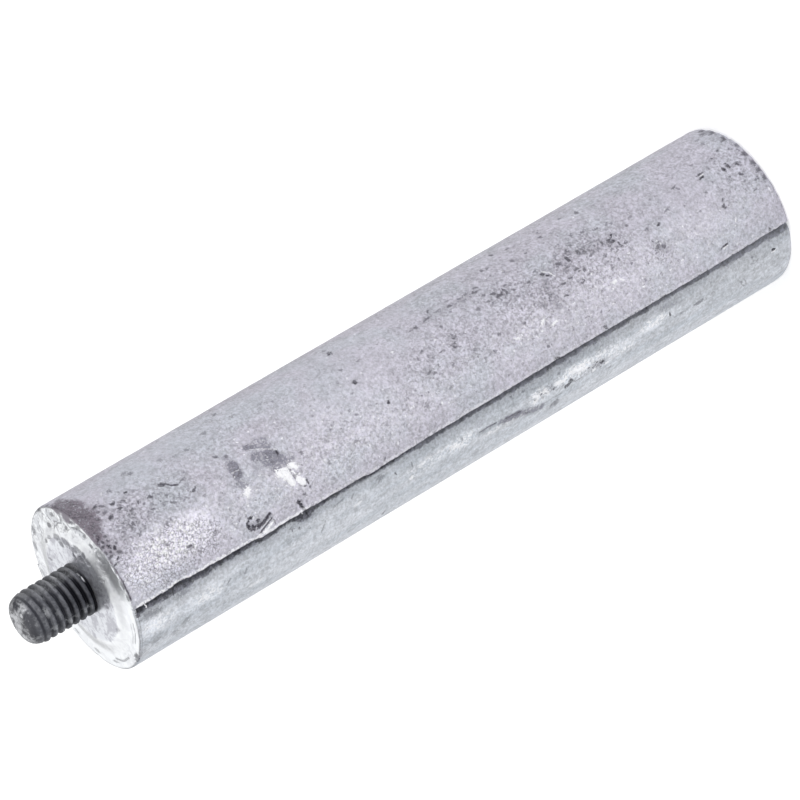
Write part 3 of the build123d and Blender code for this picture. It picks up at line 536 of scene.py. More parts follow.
back = np.abs(Uw) > HALF_TURN / 2
seam = np.clip(np.where(back, Vb, Uw), -4.0, 4.0)
band = np.where(back, 0.55, band_width(held)[:, None])
# how dark the painted shade, with some dirt, in the corner under the proud edge is along the body
strong = line(held, (0, .97), (20, .95), (22, .85), (25, .85), (31, .92), (40, .86), (49, .86), (52, .92), (75, .92), (80, .87), (100, .86), (108, .82), (121, .80))[:, None] * np.ones(NC)
# how bright the painted highlight on the burr above that edge is along the body
glow = line(held, (0, 1.0), (20, 1.0), (28, .9), (33, .5), (49, .45), (55, .5), (66, .5), (68, .36), (80, .34), (85, .32), (121, .30))[:, None] * np.ones(NC)
strong, glow = np.where(back, .85, strong), np.where(back, .4, glow)
away = np.clip(np.abs(np.abs(Uw) - HALF_TURN / 2) - 1.0, 0, 1)      # the distance changes from one mould line to the other there
strong, glow = strong * away, glow * away

shape = (len(all_s), NC)
side = dict(m_half=half, m_smudge=smudge, m_speck=speck, m_rubbed=rubbed, m_tone=tone_f, m_grain=grain_f, m_crack=crack_f, m_cool=cool_f, m_seam=seam, m_band=band, m_groove=strong, m_edge=glow)
side = {k: v.reshape(shape) for k, v in side.items()}
side_w = wf.reshape(shape)
side_r = rad.reshape(shape)
side_x, side_y = AX + side_r * np.cos(PHI), AY + side_r * np.sin(PHI)


# --- stud-end face, from the bore outwards, then the rim
def face_height(x, y):
    """Height of the stud-end face, mm, above the rim, x and y from the body's axis: a low boss with a soft sloping edge on a flat end."""
    p = np.stack([x, y, np.full(x.shape, 3.3)], 1)
    r = np.hypot(x, y) + 0.16 * noise3(np.stack([x / 4.0, y / 4.0, np.full(x.shape, 1.7)], 1), 211)
    top = 1 - smooth(BOSS_R - 0.25, BOSS_FOOT + 0.10, r)
    h = BOSS_H * (0.55 * top + 0.45 * (1 - np.clip((r - BOSS_R) / (BOSS_FOOT - BOSS_R), 0, 1)))
    flat_end = smooth(BOSS_FOOT - 0.4, BOSS_FOOT + 0.5, r)
    h += 0.010 * fbm(p, 3.2, 223, 2) * (1 - flat_end) + 0.022 * fbm(p, 2.5, 227, 3) * flat_end
    return np.minimum(h, BOSS_H - 0.002)


FACE_PITS = [
    # x, y, half-length, half-width, turn, depth, darkness
    (-6.3, 11.0, .6, .35, 20, .12, .9), (-2.5, 11.3, .55, .30, 20, .12, .9), (-4.9, 8.8, .65, .32, 15, .10, 1.), (-10.2, 6.4, .45, .75, -20, .10, .7), (-11.5, 3.5, .4, .8, 0, .10, .6), (-6.8, 5.8, .50, .26, 25, .08, .8), (0.3, 9.9, .45, .3, 20, .10, .9), (5.6, 10.1, .55, .30, 30, .12, .8), (6.6, 8.8, .5, .3, 10, .10, .8),
    (-3.2, 7.4, .95, .50, 5, .12, .75), (-2.4, 6.5, .55, .45, 10, .14, .9), (-0.9, 7.3, 1.0, .50, -5, .10, .65), (0.5, 5.2, .35, .55, 25, .14, 1.), (1.1, 6.6, .9, .4, 10, .10, .6), (2.3, 5.4, .8, .42, 10, .14, .8), (3.3, 6.2, .45, .65, -30, .16, 1.), (2.2, 7.0, .9, .35, -20, .10, .7), (4.0, 5.3, .5, .5, 0, .12, .6),
    (-5.3, 6.9, .7, .3, 20, .06, .5), (8.0, 4.5, .7, .22, 15, .06, .6), (6.5, 3.2, .6, .25, 20, .06, .5), (7.9, 7.0, .5, .4, 0, .08, .5), (-7.7, 2.5, .45, .25, 0, .05, .45), (-9.3, 0.6, .5, .3, 0, .05, .4), (-12.0, -1.2, .4, .6, 0, .06, .5), (6.2, -4.9, .5, .3, 20, .06, .4), (5.3, -1.3, .4, .3, 0, .05, .4),
    (9.0, -8.5, .8, .40, 40, .18, 1.), (8.6, -9.2, .5, .3, 30, .12, .8), (0.0, 11.5, .35, 1.0, 15, .08, .5), (-11.9, 5.2, .3, .6, -20, .06, .4), (4.4, 11.2, .6, .3, 30, .10, .8), (2.9, 11.5, .6, .25, 20, .08, .8), (11.2, 6.4, .3, .6, 30, .08, .7), (12.0, 4.0, .3, .7, 10, .10, .9), (12.4, 2.2, .25, .5, 10, .10, .9), (8.4, 8.1, .4, .4, 0, .08, .4),
    (-7.5, -9.5, .6, .3, -30, .08, .5), (-3.0, -11.3, .7, .25, -10, .08, .5), (2.0, -11.6, .8, .2, 5, .08, .5), (-11.0, -5.6, .3, .7, 30, .07, .5),
]
FACE_STROKES = [
    ([(2.0, -11.0), (4.5, -10.7), (6.4, -9.5)], .14, .05, .6), ([(10.1, -5.9), (11.1, -4.1), (11.5, -2.2)], .10, .04, .55), ([(9.3, -6.2), (10.2, -4.6), (10.7, -2.6)], .08, .04, .4), ([(0.4, 6.0), (0.2, 4.6)], .14, .08, .8), ([(-0.2, 11.9), (-0.4, 10.4)], .12, .06, .6),
    ([(2.6, 10.6), (4.2, 10.9), (5.8, 10.4)], .16, .08, .7), ([(11.9, 6.0), (12.6, 3.9), (12.9, 1.9)], .16, .10, .8), ([(6.2, 4.0), (7.8, 4.4), (9.0, 4.9)], .10, .04, .5),
]
FACE_MARKS = [raised(m[0], m[1]) + m[2:] for m in FACE_PITS]
FACE_LINES = [([raised(x, y) for x, y in pts], half, depth, k) for pts, half, depth, k in FACE_STROKES]
# where small pits crowd, and where the cast surface is crumpled: x, y, half-lengths, strength
FACE_SPECKLE = [(1.4, 7.2, 5.0, 1.0, 1.0), (-2.6, 8.5, 3.0, .9, .6), (4.5, 10.0, 3.5, 1.6, .9), (-8.5, 7.5, 4.0, 3.0, .35), (9.5, -8.0, 1.8, 1.4, .7), (7.6, 4.6, 3.0, 1.4, .45), (-4.0, 11.2, 4.0, 1.2, .5), (12.0, 4.0, 1.2, 4.0, .7)]
FACE_FOIL = [(-1.0, 10.6, 9.0, 2.4, 1.0), (-9.0, 7.5, 4.0, 4.0, .8), (8.5, 8.0, 3.0, 3.0, .6), (-11.5, 0.0, 1.6, 6.0, .5), (8.0, -8.5, 3.0, 3.0, .4)]
# dirt that spills over the rim from the side
FACE_DIRT = [(1.8, 11.9, 1.6, 1.1, .9), (-0.4, 12.4, 1.6, .7, .8), (3.6, 12.0, 1.2, .8, .6), (-3.0, 12.4, 1.4, .5, .5), (0.8, 7.7, 3.2, .45, .42), (-2.3, 7.7, 1.3, .40, .35), (4.4, 6.3, 1.2, .5, .40)]


def face_relief(x, y):
    d_lift = np.zeros(x.shape)
    for cx, cy, a, b, turn, depth, k in FACE_MARKS:
        d_lift -= depth * (1 - smooth(0.2, 1.4, ellipse(x, y, cx, cy, a, b, turn)))
    for pts, half, depth, k in FACE_LINES:
        d_lift -= depth * (1 - smooth(0.2, 1.8, stroke(x, y, pts) / half))
    return d_lift, field_of(FACE_SPECKLE, x, y), field_of(FACE_FOIL, x, y), field_of(FACE_DIRT, x, y)


ang = PHI[4]
# bore, blind, hidden under the stud; it runs on the stud's axis
for z, r in ((-BORE_END, BORE_R), (-BORE_END + 2.0, BORE_R), (-BORE_END * 0.5, BORE_R), (-2.0, BORE_R), (0.1, BORE_R)):
    put_row(r * np.cos(ang), r * np.sin(ang), np.full(NC, z))
face_r = np.concatenate([[BORE_R], np.linspace(3.95, 8.1, 12), [8.35, 8.65, 9.0, 9.4, 9.8, 10.15, 10.5], np.linspace(10.85, 12.25, 5)])
for r0 in face_r:
    t = (r0 - BORE_R) / (12.25 - BORE_R)
    # centre of each ring moves from the stud's axis to the body's axis
    x, y = AX * t + r0 * np.cos(ang), AY * t + r0 * np.sin(ang)
    lift_f, spk, foil, dirt = face_relief(x - AX, y - AY)
    put_row(x, y, np.minimum(face_height(x - AX, y - AY) + lift_f, BOSS_H - 0.002), xy=(x - AX, y - AY), m_speck=spk, m_crack=foil, m_smudge=dirt)
# rim: out to the first side row by a worn chamfer
# a thin line of painted shade along the rim's chamfer, stronger on some sides
rim_line = np.interp(np.degrees(ang) % 360, [0, 50, 70, 90, 200, 230, 300, 320, 360], [.8, .8, .4, .5, .5, .25, .25, .6, .8])
for i, (t, f_z) in enumerate(RIM_AT):
    base_x, base_y = AX + 12.25 * np.cos(ang), AY + 12.25 * np.sin(ang)
    x, y = base_x + (side_x[4] - base_x) * t, base_y + (side_y[4] - base_y) * t
    p = np.stack([x, y, np.full(NC, f_z * 4)], 1)
    worn = 0.05 * fbm(p, 1.4, 251, 2) - 0.13 * np.clip(fbm(p, 2.2, 253, 2) - 0.18, 0, 1)
    lift_f, spk, foil, dirt = face_relief(x - AX, y - AY)
    put_row(x, y, np.minimum(f_z + worn * (0.2 if t < .4 else 1.0) + lift_f, 0.02), sw=(all_s[i], side_w[i]), xy=(x - AX, y - AY), m_speck=np.maximum(spk, side["m_speck"][i] * t), m_crack=foil,
            m_smudge=np.maximum(dirt, side["m_smudge"][i] * smooth(0.1, 0.6, t)), m_edge=rim_line * smooth(0.35, 0.9, t), m_half=side["m_half"][i])
n_face = len(verts)
for i in range(4, len(all_s)):
    put_row(side_x[i], side_y[i], np.full(NC, -all_s[i]), sw=(all_s[i], side_w[i]), **{k: side[k][i] for k in side})
# foot: rounded edge, then the flat end
last = {k: side[k][-1] for k in side}
corner = FOOT * (1 - 0.78 * smooth(0.1, 1.2, -side_w[-1]) * (1 - smooth(11.0, 15.0, -side_w[-1])))      # the lower half's edge is nearly sharp
for a in np.radians([18, 36, 54, 72, 90]):
    rr = side_r[-1] - corner * (1 - math.cos(a))
    x, y = AX + rr * np.cos(PHI[-1]), AY + rr * np.sin(PHI[-1])
    z = -rows[-1] - (LENGTH - rows[-1]) * math.sin(a)
    put_row(x, y, np.full(NC, z), sw=(rows[-1] + FOOT * a, side_w[-1]), m_half=last["m_half"], m_speck=last["m_speck"], m_smudge=last["m_smudge"] * .5, m_seam=last["m_seam"], m_band=last["m_band"], m_groove=last["m_groove"] * math.cos(a), m_tone=last["m_tone"])
for f in (0.92, 0.80, 0.66, 0.52, 0.38, 0.24, 0.10):
    rr = (side_r[-1] - corner) * f
    x, y = AX + rr * np.cos(PHI[-1]), AY + rr * np.sin(PHI[-1])
    p = np.stack([x, y, np.full(NC, 5.5)], 1)
    put_row(x, y, -LENGTH + 0.05 * np.clip(fbm(p, 3.0, 263, 3), 0, 1), m_half=0.5, m_speck=0.35)

V = np.concatenate(verts, 0)
NR = len(verts)
# poles: bottom of the bore and middle of the foot
V = np.concatenate([V, [[0.0, 0.0, -BORE_END]], [[AX, AY, -LENGTH + 0.03]]], 0)
top_pole, foot_pole = NR * NC, NR * NC + 1
idx = np.arange(NR * NC).reshape(NR, NC)
nxt = np.roll(idx, -1, axis=1)
quads = np.stack([idx[:-1], idx[1:], nxt[1:], nxt[:-1]], -1).reshape(-1, 4)
quad_row = np.repeat(np.arange(NR - 1), NC)
tri_top = np.stack([np.full(NC, top_pole), idx[0], nxt[0]], -1)
tri_foot = np.stack([np.full(NC, foot_pole), nxt[-1], idx[-1]], -1)

flat = {k: np.concatenate([np.concatenate(v), [0.0, 0.0]]) for k, v in masks.items()}
at = {k: np.concatenate([np.concatenate(v), [np.nan, np.nan]]) for k, v in where.items()}
at = {k: np.where(np.isnan(v), 1e6, v) for k, v in at.items()}

# --- marks into layers; what finds no room goes to the plain masks
dark_layers = Layers(["l_dark%d" % n for n in range(8)], len(V))
light_layers = Layers(["l_light%d" % n for n in range(3)], len(V))
todo = []
for mark in SIDE_SPOTS:
    hidden = mark[1] > 27 or mark[1] < -14
    todo.append((mark[6] * math.sqrt(mark[2] * mark[3]) - 9 * hidden, "spot", mark, "s", "w", dark_layers, "m_dark", .32 + .45 * hidden, .42 + .45 * hidden))
for pts, half_w, depth, k in SIDE_STROKES:
    todo.append((k * 0.6, "stroke", (pts, half_w, k), "s", "w", dark_layers, "m_dark", .32, .42))
for mark in FACE_MARKS:
    todo.append((mark[6] * math.sqrt(mark[2] * mark[3]), "spot", mark, "x", "y", dark_layers, "m_dark", .45, .60))
for pts, half_w, depth, k in FACE_LINES:
    todo.append((k * 0.6, "stroke", (pts, half_w, k), "x", "y", dark_layers, "m_dark", .45, .60))
for pts, half_w, rise, k in SIDE_FLAKES:
    todo.append((k * half_w, "stroke", (pts, half_w, k), "s", "w", light_layers, "m_light", .32, .42))
todo.sort(key=lambda item: -item[0])
missed = 0
for _, kind, mark, ka, kb, layers, plain, gap, ring in todo:
    if kind == "spot":
        got = spot_cells(at[ka], at[kb], mark, gap, ring)
    else:
        got = stroke_cells(at[ka], at[kb], *mark, gap, ring)
    if not len(got[0]) or layers.place(*got):
        continue
    missed += 1
    i, a, b, k = got
    strength = mark[6] if kind == "spot" else mark[2]
    flat[plain][i] = np.maximum(flat[plain][i], strength * np.clip(1.55 - 0.72 * np.hypot(a, b), 0, 1.25))
print("marks", len(todo), "without a layer", missed)


def make_mesh(name, verts_mm, quads, tris, attrs, layers=()):
    me = bpy.data.meshes.new(name)
    nq, nt = len(quads), len(tris)
    me.vertices.add(len(verts_mm))
    co = (np.asarray(verts_mm, np.float64) - np.array([0.0, 0.0, BOSS_H])) * 0.001
    me.vertices.foreach_set("co", co.astype(np.float32).ravel())
    me.loops.add(nq * 4 + nt * 3)
    me.polygons.add(nq + nt)
    me.loops.foreach_set("vertex_index", np.concatenate([quads.ravel(), tris.ravel()]).astype(np.int32))
    starts = np.concatenate([np.arange(nq) * 4, nq * 4 + np.arange(nt) * 3]).astype(np.int32)
    totals = np.concatenate([np.full(nq, 4), np.full(nt, 3)]).astype(np.int32)
    me.polygons.foreach_set("loop_start", starts)
    me.polygons.foreach_set("loop_total", totals)
    me.polygons.foreach_set("use_smooth", np.ones(nq + nt, bool))
    me.update(calc_edges=True)
    me.validate()
    for k, v in attrs.items():
        at = me.attributes.new(k, "FLOAT", "POINT")
        at.data.foreach_set("value", np.asarray(v, np.float32))
    for group in layers:
        for n, k in enumerate(group.names):
            at = me.attributes.new(k, "FLOAT_VECTOR", "POINT")
            at.data.foreach_set("vector", group.data[n].astype(np.float32).ravel())
    ob = bpy.data.objects.new(name, me)
    scene.collection.objects.link(ob)
    return ob


body = make_mesh("cast_body", V, quads, np.concatenate([tri_top, tri_foot]), flat, (dark_layers, light_layers))
mat_index = np.where(quad_row < n_face - 2, 1, 0)          # 1 = the stud-end face
mat_index = np.concatenate([mat_index, np.full(NC, 1), np.full(NC, 0)]).astype(np.int32)


# ---------------------------------------------------------------- the stud
def thread_depth(phase):
    """0 on the crest, 1 at the root; phase in turns, crest at 0."""
    d = np.abs((phase + 0.5) % 1.0 - 0.5)
    t = np.clip((d - 0.13) / (0.41 - 0.13), 0, 1)
    return t * 0.75 + 0.25 * (t * t * (3 - 2 * t))


NS = 144
sz = np.concatenate([np.linspace(-0.30, 9.0, 187), np.linspace(9.06, 10.60, 26)])
th = np.linspace(0, 2 * math.pi, NS, endpoint=False)
Z, TH = np.meshgrid(sz, th, indexing="ij")
dep = thread_depth(Z / PITCH - TH / (2 * math.pi) - 0.044)
pz = np.stack([4 * np.cos(TH), 4 * np.sin(TH), Z], -1).reshape(-1, 3)
wear = fbm(pz, 1.6, 301, 3).reshape(Z.shape)
fine = fbm(pz, 0.45, 307, 2).reshape(Z.shape)
deep = 0.56 * np.interp(Z, [-1, 4.0, 6.0, 7.6, 8.6, 9.2], [1.0, 1.0, .88, .72, .58, .5]) * (1 + 0.10 * fbm(pz, 2.6, 309, 1).reshape(Z.shape))
rt = THREAD_R - 0.04 - deep * dep
rt -= 0.055 * np.clip(wear, 0, 1) * (1 - dep)
rt += 0.014 * fine * (1 - 0.4 * dep)
for zc, tc, a, b, k in [(6.3, 0.9, .5, .35, .16), (3.1, 1.7, .4, .3, .14), (8.4, -0.3, .5, .4, .16), (5.2, -0.8, .35, .3, .12), (1.9, 0.2, .35, .3, .1), (7.5, 2.5, .4, .4, .15), (4.4, -0.35, .3, .3, .12), (8.1, 1.2, .3, .5, .12)]:
    dth = (TH - tc + math.pi) % (2 * math.pi) - math.pi
    rt -= k * np.exp(-((Z - zc) / a) ** 2 - (dth * 4 / b) ** 2) * (1 - dep)
# a thin burr on the first flank
burr_d = (np.degrees(TH) - 50 - 60 * (Z - 0.9) + 180) % 360 - 180
rt += 0.16 * np.exp(-((Z - 0.86) / 0.10) ** 2 - (burr_d / 13) ** 4)
# run-out at the boss, and the rounded lead at the tip
runout = smooth(0.35, 0.0, Z)
rt = rt * (1 - runout) + (3.62 + 0.10 * (1 - dep)) * runout
TIP = [(8.6, 3.95), (9.0, 3.86), (9.35, 3.77), (9.7, 3.66), (10.05, 3.52), (10.35, 3.33), (10.6, 3.08), (10.78, 2.78), (10.9, 2.4), (10.97, 1.8), (10.985, 1.0), (10.99, 0.0)]
tip_z, tip_r = zip(*TIP)
lead = np.interp(Z, tip_z, tip_r) + 0.02 * wear
lead = np.where(Z < 8.6, 9.0, lead)
rt = np.minimum(rt, lead)
# the material paints shade, with some dirt, into the thread roots and the run-out from this
crest = np.clip(1 - dep + 0.24 * smooth(4.0, 7.0, Z), 0, 1) * (1 - runout)
sv = np.stack([rt * np.cos(TH), rt * np.sin(TH), Z], -1).reshape(-1, 3)
# below: the plain shank inside the casting
low_rows = [(-0.35, 3.59), (-1.2, 3.59), (-30.0, 3.59), (-70.0, 3.59), (-BORE_END + 0.55, 3.59), (-BORE_END + 0.05, 3.1)]
tops = []
for r0 in (2.98, 2.84, 2.66, 2.44, 2.18, 1.88, 1.54, 1.18, 0.80, 0.40):
    z0 = float(np.interp(r0, tip_r[::-1], tip_z[::-1]))
    x, y = r0 * np.cos(th), r0 * np.sin(th)
    p = np.stack([x, y, np.full(NS, 10.8)], 1)
    h = 0.035 * fbm(p, 1.4, 311, 3) - 0.08 * np.clip(fbm(p, 1.9, 313, 2) - 0.22, 0, 1)
    tops.append(np.stack([x, y, np.minimum(z0 + h * smooth(3.05, 2.4, r0), STUD_TOP - 0.004)], 1))
stud_rows = [np.stack([r0 * np.cos(th), r0 * np.sin(th), np.full(NS, z0)], 1) for z0, r0 in reversed(low_rows)]
stud_rows += [sv[i * NS:(i + 1) * NS] for i in range(len(sz))] + tops
nsr = len(stud_rows)
SV = np.concatenate(stud_rows + [np.array([[0, 0, -BORE_END + 0.05], [0, 0, 10.975]])], 0)
s_crest = np.concatenate([np.zeros(len(low_rows) * NS), crest.ravel(), np.ones(len(tops) * NS), [0, 1]])
s_tip = np.concatenate([np.zeros(len(low_rows) * NS), smooth(9.75, 10.55, Z).ravel(), np.ones(len(tops) * NS), [0, 1]])
# painted highlights on the steel, with a near-white catch light on the burr of the first flank: turn round the axis in
# degrees, height, half-widths, strength
SPARK = [(85, 4.0, 18, .35, .8), (85, 6.2, 18, .35, .8), (22, 8.1, 14, .4, .8), (-20, 2.2, 10, 1.0, .7), (-24, 5.0, 10, 1.4, .7), (-20, 7.6, 10, .9, .6), (80, 2.2, 24, 2.0, .35), (80, 5.4, 24, 2.4, .35), (46, .86, 10, .15, 3.0), (62, .96, 8, .13, 1.6), (8, 6.6, 12, .35, .4), (60, 7.4, 16, .4, .45)]
deg = (np.degrees(TH) + 180) % 360 - 180
spark = np.zeros(Z.shape)
for d0, z0, dd, dz, k in SPARK:
    spark = np.maximum(spark, k * (1 - smooth(0.3, 1.2, np.hypot(((deg - d0 + 180) % 360 - 180) / dd, (Z - z0) / dz))))
# painted shade on the crests and in the grooves near the boss
gloom = 1 - smooth(0.35, 1.25, np.hypot((deg - 16) / 46, (Z - 2.2) / 3.6))
# and a painted sheen along the top
gloom -= 0.9 * (1 - smooth(0.4, 1.2, np.hypot((deg - 92) / 34, (Z - 3.0) / 9.0)))
s_spark = np.concatenate([np.zeros(len(low_rows) * NS), spark.ravel(), np.zeros(len(tops) * NS), [0, 0]])
s_gloom = np.concatenate([np.zeros(len(low_rows) * NS), gloom.ravel(), np.zeros(len(tops) * NS), [0, 0]])
# pale worn mottles on the rounded tip, partly painted light, painted shade over its +X side, and a few dark marks: x,
# y, half-lengths, turn, strength
TIP_MARKS = [(-1.2, 1.0, 1.1, .28, 15, .9), (-2.5, -0.5, .8, .45, 40, .9), (0.2, -2.0, .6, .4, 0, .8), (-1.4, -1.6, 1.0, .7, 30, .7), (1.5, 1.8, .35, .35, 0, .7), (2.8, 3.5, 1.0, .4, 0, .5), (-1.0, -0.3, 1.6, 1.4, 0, .35), (-2.4, 1.6, .7, .5, 0, .5),
             (3.3, 0.6, 1.7, 2.0, 0, -.95), (1.4, 0.2, .9, .6, 30, -.35), (0.2, 2.8, 1.0, .5, 0, -.35), (-0.2, 0.3, .5, .3, 0, -.4)]
tx, ty = SV[:, 0], SV[:, 1]
s_pale = np.zeros(len(SV))
for cx, cy, a, b, turn, k in TIP_MARKS:
    v = abs(k) * (1 - smooth(0.4, 1.25, ellipse(tx, ty, cx, cy, a, b, turn)))
    s_pale = np.where(k > 0, np.maximum(s_pale, v), s_pale - v)
s_pale *= s_tip
sidx = np.arange(nsr * NS).reshape(nsr, NS)
snx = np.roll(sidx, -1, axis=1)
squads = np.stack([sidx[:-1], snx[:-1], snx[1:], sidx[1:]], -1).reshape(-1, 4)
stri = np.concatenate([
    np.stack([np.full(NS, nsr * NS), snx[0], sidx[0]], -1),
    np.stack([np.full(NS, nsr * NS + 1), sidx[-1], snx[-1]], -1),
])
stud = make_mesh("steel_stud", SV, squads, stri, {"m_crest": s_crest, "m_tip": s_tip, "m_spark": s_spark, "m_gloom": s_gloom, "m_pale": s_pale})


# ---------------------------------------------------------------- materials
class Nodes:
    """Short hands for a material's node tree."""

    def __init__(self, name):
        self.mat = bpy.data.materials.new(name)
        self.mat.use_nodes = True
        self.nt = self.mat.node_tree
        self.nt.nodes.clear()
        self.out = self.nt.nodes.new("ShaderNodeOutputMaterial")
        self.bsdf = self.nt.nodes.new("ShaderNodeBsdfPrincipled")
        self.nt.links.new(self.bsdf.outputs[0], self.out.inputs[0])
        tc = self.nt.nodes.new("ShaderNodeTexCoord")
        sc = self.nt.nodes.new("ShaderNodeVectorMath")
        sc.operation = "SCALE"
        sc.inputs["Scale"].default_value = 1000.0
        self.nt.links.new(tc.outputs["Object"], sc.inputs[0])
        self.mm = sc.outputs[0]

    def feed(self, socket, v):
        if isinstance(v, bpy.types.NodeSocket):
            self.nt.links.new(v, socket)
        else:
            socket.default_value = v

    def m(self, op, a, b=None, c=None, clamp=False):
        n = self.nt.nodes.new("ShaderNodeMath")
        n.operation = op
        n.use_clamp = clamp
        self.feed(n.inputs[0], a)
        if b is not None:
            self.feed(n.inputs[1], b)
        if c is not None:
            self.feed(n.inputs[2], c)
        return n.outputs[0]

    def ramp(self, x, lo, hi, a=0.0, b=1.0):
        n = self.nt.nodes.new("ShaderNodeMapRange")
        n.interpolation_type = "SMOOTHSTEP"
        self.feed(n.inputs["Value"], x)
        self.feed(n.inputs["From Min"], lo)
        self.feed(n.inputs["From Max"], hi)
        self.feed(n.inputs["To Min"], a)
        self.feed(n.inputs["To Max"], b)
        return n.outputs["Result"]

    def attr(self, name):
        n = self.nt.nodes.new("ShaderNodeAttribute")
        n.attribute_name = name
        return n.outputs["Fac"]

    def layer(self, name, ragged, soft=0.46):
        """One layer of marks: 1 inside a mark, times its strength."""
        n = self.nt.nodes.new("ShaderNodeAttribute")
        n.attribute_name = name
        ln = self.nt.nodes.new("ShaderNodeVectorMath")
        ln.operation = "LENGTH"
        self.feed(ln.inputs[0], self.stretch(n.outputs["Vector"], 1.0, 1.0, 0.0))
        xyz = self.nt.nodes.new("ShaderNodeSeparateXYZ")
        self.feed(xyz.inputs[0], n.outputs["Vector"])
        loose = self.m("MULTIPLY_ADD", xyz.outputs[2], -0.55, 1.55)          # weak marks are the most broken
        mask = self.ramp(self.m("MULTIPLY_ADD", ragged, loose, ln.outputs["Value"]), 1.0 - soft / 2, 1.0 + soft / 2, 1.0, 0.0)
        return self.m("MULTIPLY", mask, xyz.outputs[2])

    def most(self, *vs):
        out = vs[0]
        for v in vs[1:]:
            out = self.m("MAXIMUM", out, v)
        return out

    def blend(self, fac, a, b):
        n = self.nt.nodes.new("ShaderNodeMix")
        n.data_type = "FLOAT"
        self.feed(n.inputs[0], fac)
        self.feed(n.inputs[2], a)
        self.feed(n.inputs[3], b)
        return n.outputs[0]

    def stretch(self, vec, x, y, z):
        n = self.nt.nodes.new("ShaderNodeVectorMath")
        n.operation = "MULTIPLY"
        self.feed(n.inputs[0], vec)
        n.inputs[1].default_value = (x, y, z)
        return n.outputs[0]

    def offset(self, vec, x, y, z):
        n = self.nt.nodes.new("ShaderNodeVectorMath")
        n.operation = "ADD"
        self.feed(n.inputs[0], vec)
        n.inputs[1].default_value = (x, y, z)
        return n.outputs[0]

    def noise(self, vec, scale, detail=3.0, rough=0.55, distort=0.0, at=0.0):
        n = self.nt.nodes.new("ShaderNodeTexNoise")
        n.noise_dimensions = "3D"
        self.feed(n.inputs["Vector"], self.offset(vec, at, at * 1.7, at * 0.6) if at else vec)
        n.inputs["Scale"].default_value = scale
        n.inputs["Detail"].default_value = detail
        n.inputs["Roughness"].default_value = rough
        n.inputs["Distortion"].default_value = distort
        return n.outputs["Fac"]

    def voronoi(self, vec, scale, feature="SMOOTH_F1", smoothness=0.6, random=1.0):
        n = self.nt.nodes.new("ShaderNodeTexVoronoi")
        n.feature = feature
        self.feed(n.inputs["Vector"], vec)
        n.inputs["Scale"].default_value = scale
        if "Smoothness" in n.inputs and feature == "SMOOTH_F1":
            n.inputs["Smoothness"].default_value = smoothness
        n.inputs["Randomness"].default_value = random
        return n.outputs["Distance"]

    def mix(self, fac, a, b, kind="MIX"):
        n = self.nt.nodes.new("ShaderNodeMix")
        n.data_type = "RGBA"
        n.blend_type = kind
        n.clamp_factor = True
        self.feed(n.inputs[0], fac)
        for sock, v in ((n.inputs[6], a), (n.inputs[7], b)):
            if isinstance(v, tuple):
                sock.default_value = (*v, 1.0)
            else:
                self.feed(sock, v)
        return n.outputs[2]

    def grey(self, v):
        n = self.nt.nodes.new("ShaderNodeCombineColor")
        for k in range(3):
            self.feed(n.inputs[k], v)
        return n.outputs[0]

    def bump(self, height, distance=0.001, strength=1.0, normal=None):
        n = self.nt.nodes.new("ShaderNodeBump")
        n.inputs["Strength"].default_value = strength
        n.inputs["Distance"].default_value = distance
        self.feed(n.inputs["Height"], height)
        if normal is not None:
            self.feed(n.inputs["Normal"], normal)
        return n.outputs[0]

    def total(self, *vs):
        out = vs[0]
        for v in vs[1:]:
            out = self.m("ADD", out, v)
        return out


def centred(g, x, k):
    return g.m("MULTIPLY", g.m("SUBTRACT", x, 0.5), k)


# --- cast skin
g = Nodes("cast_skin")
P = g.mm
half_a, dark_a, light_a = g.attr("m_half"), g.attr("m_dark"), g.attr("m_light")
smudge_a, speck_a, rub_a = g.attr("m_smudge"), g.attr("m_speck"), g.attr("m_rubbed")
tone_a, grain_a, crack_a = g.attr("m_tone"), g.attr("m_grain"), g.attr("m_crack")
seam_a, band_a, groove_a, edge_a = g.attr("m_seam"), g.attr("m_band"), g.attr("m_groove"), g.attr("m_edge")
n_patch = g.noise(P, 0.10, 3, 0.55, 0.4)
n_mid = g.noise(P, 0.55, 3, 0.55, 0.3, at=3.1)
n_one = g.noise(P, 1.15, 2, 0.5, 0.6, at=5.3)
n_grain = g.noise(P, 2.3, 2, 0.5, 0.5, at=7.7)
n_fine = g.noise(P, 4.6, 1, 0.5, 0.0, at=11.3)
n_ragged = g.noise(P, 2.9, 3, 0.6, 0.5, at=19.0)
n_fleck = g.noise(P, 2.0, 2, 0.55, 0.8, at=15.0)
n_drawn = g.noise(g.stretch(P, 1.0, 1.0, 0.22), 1.4, 3, 0.6, 0.3, at=23.0)
n_long = g.noise(g.stretch(P, 1.0, 1.0, 0.10), 0.45, 3, 0.6, 0.4, at=29.0)
c_mid = g.ramp(n_mid, 0.34, 0.66)
c_one = g.ramp(n_one, 0.33, 0.67)
c_grain = g.ramp(n_grain, 0.36, 0.64)
c_fine = g.ramp(n_fine, 0.30, 0.70)

# a broken-up space for cells and specks
warp = g.nt.nodes.new("ShaderNodeTexNoise")
g.feed(warp.inputs["Vector"], P)
warp.inputs["Scale"].default_value = 2.6
warp.inputs["Detail"].default_value = 2.0
wv = g.nt.nodes.new("ShaderNodeVectorMath")
wv.operation = "MULTIPLY_ADD"
g.feed(wv.inputs[0], warp.outputs["Color"])
wv.inputs[1].default_value = (0.75, 0.75, 0.75)
g.feed(wv.inputs[2], P)
bent = wv.outputs[0]


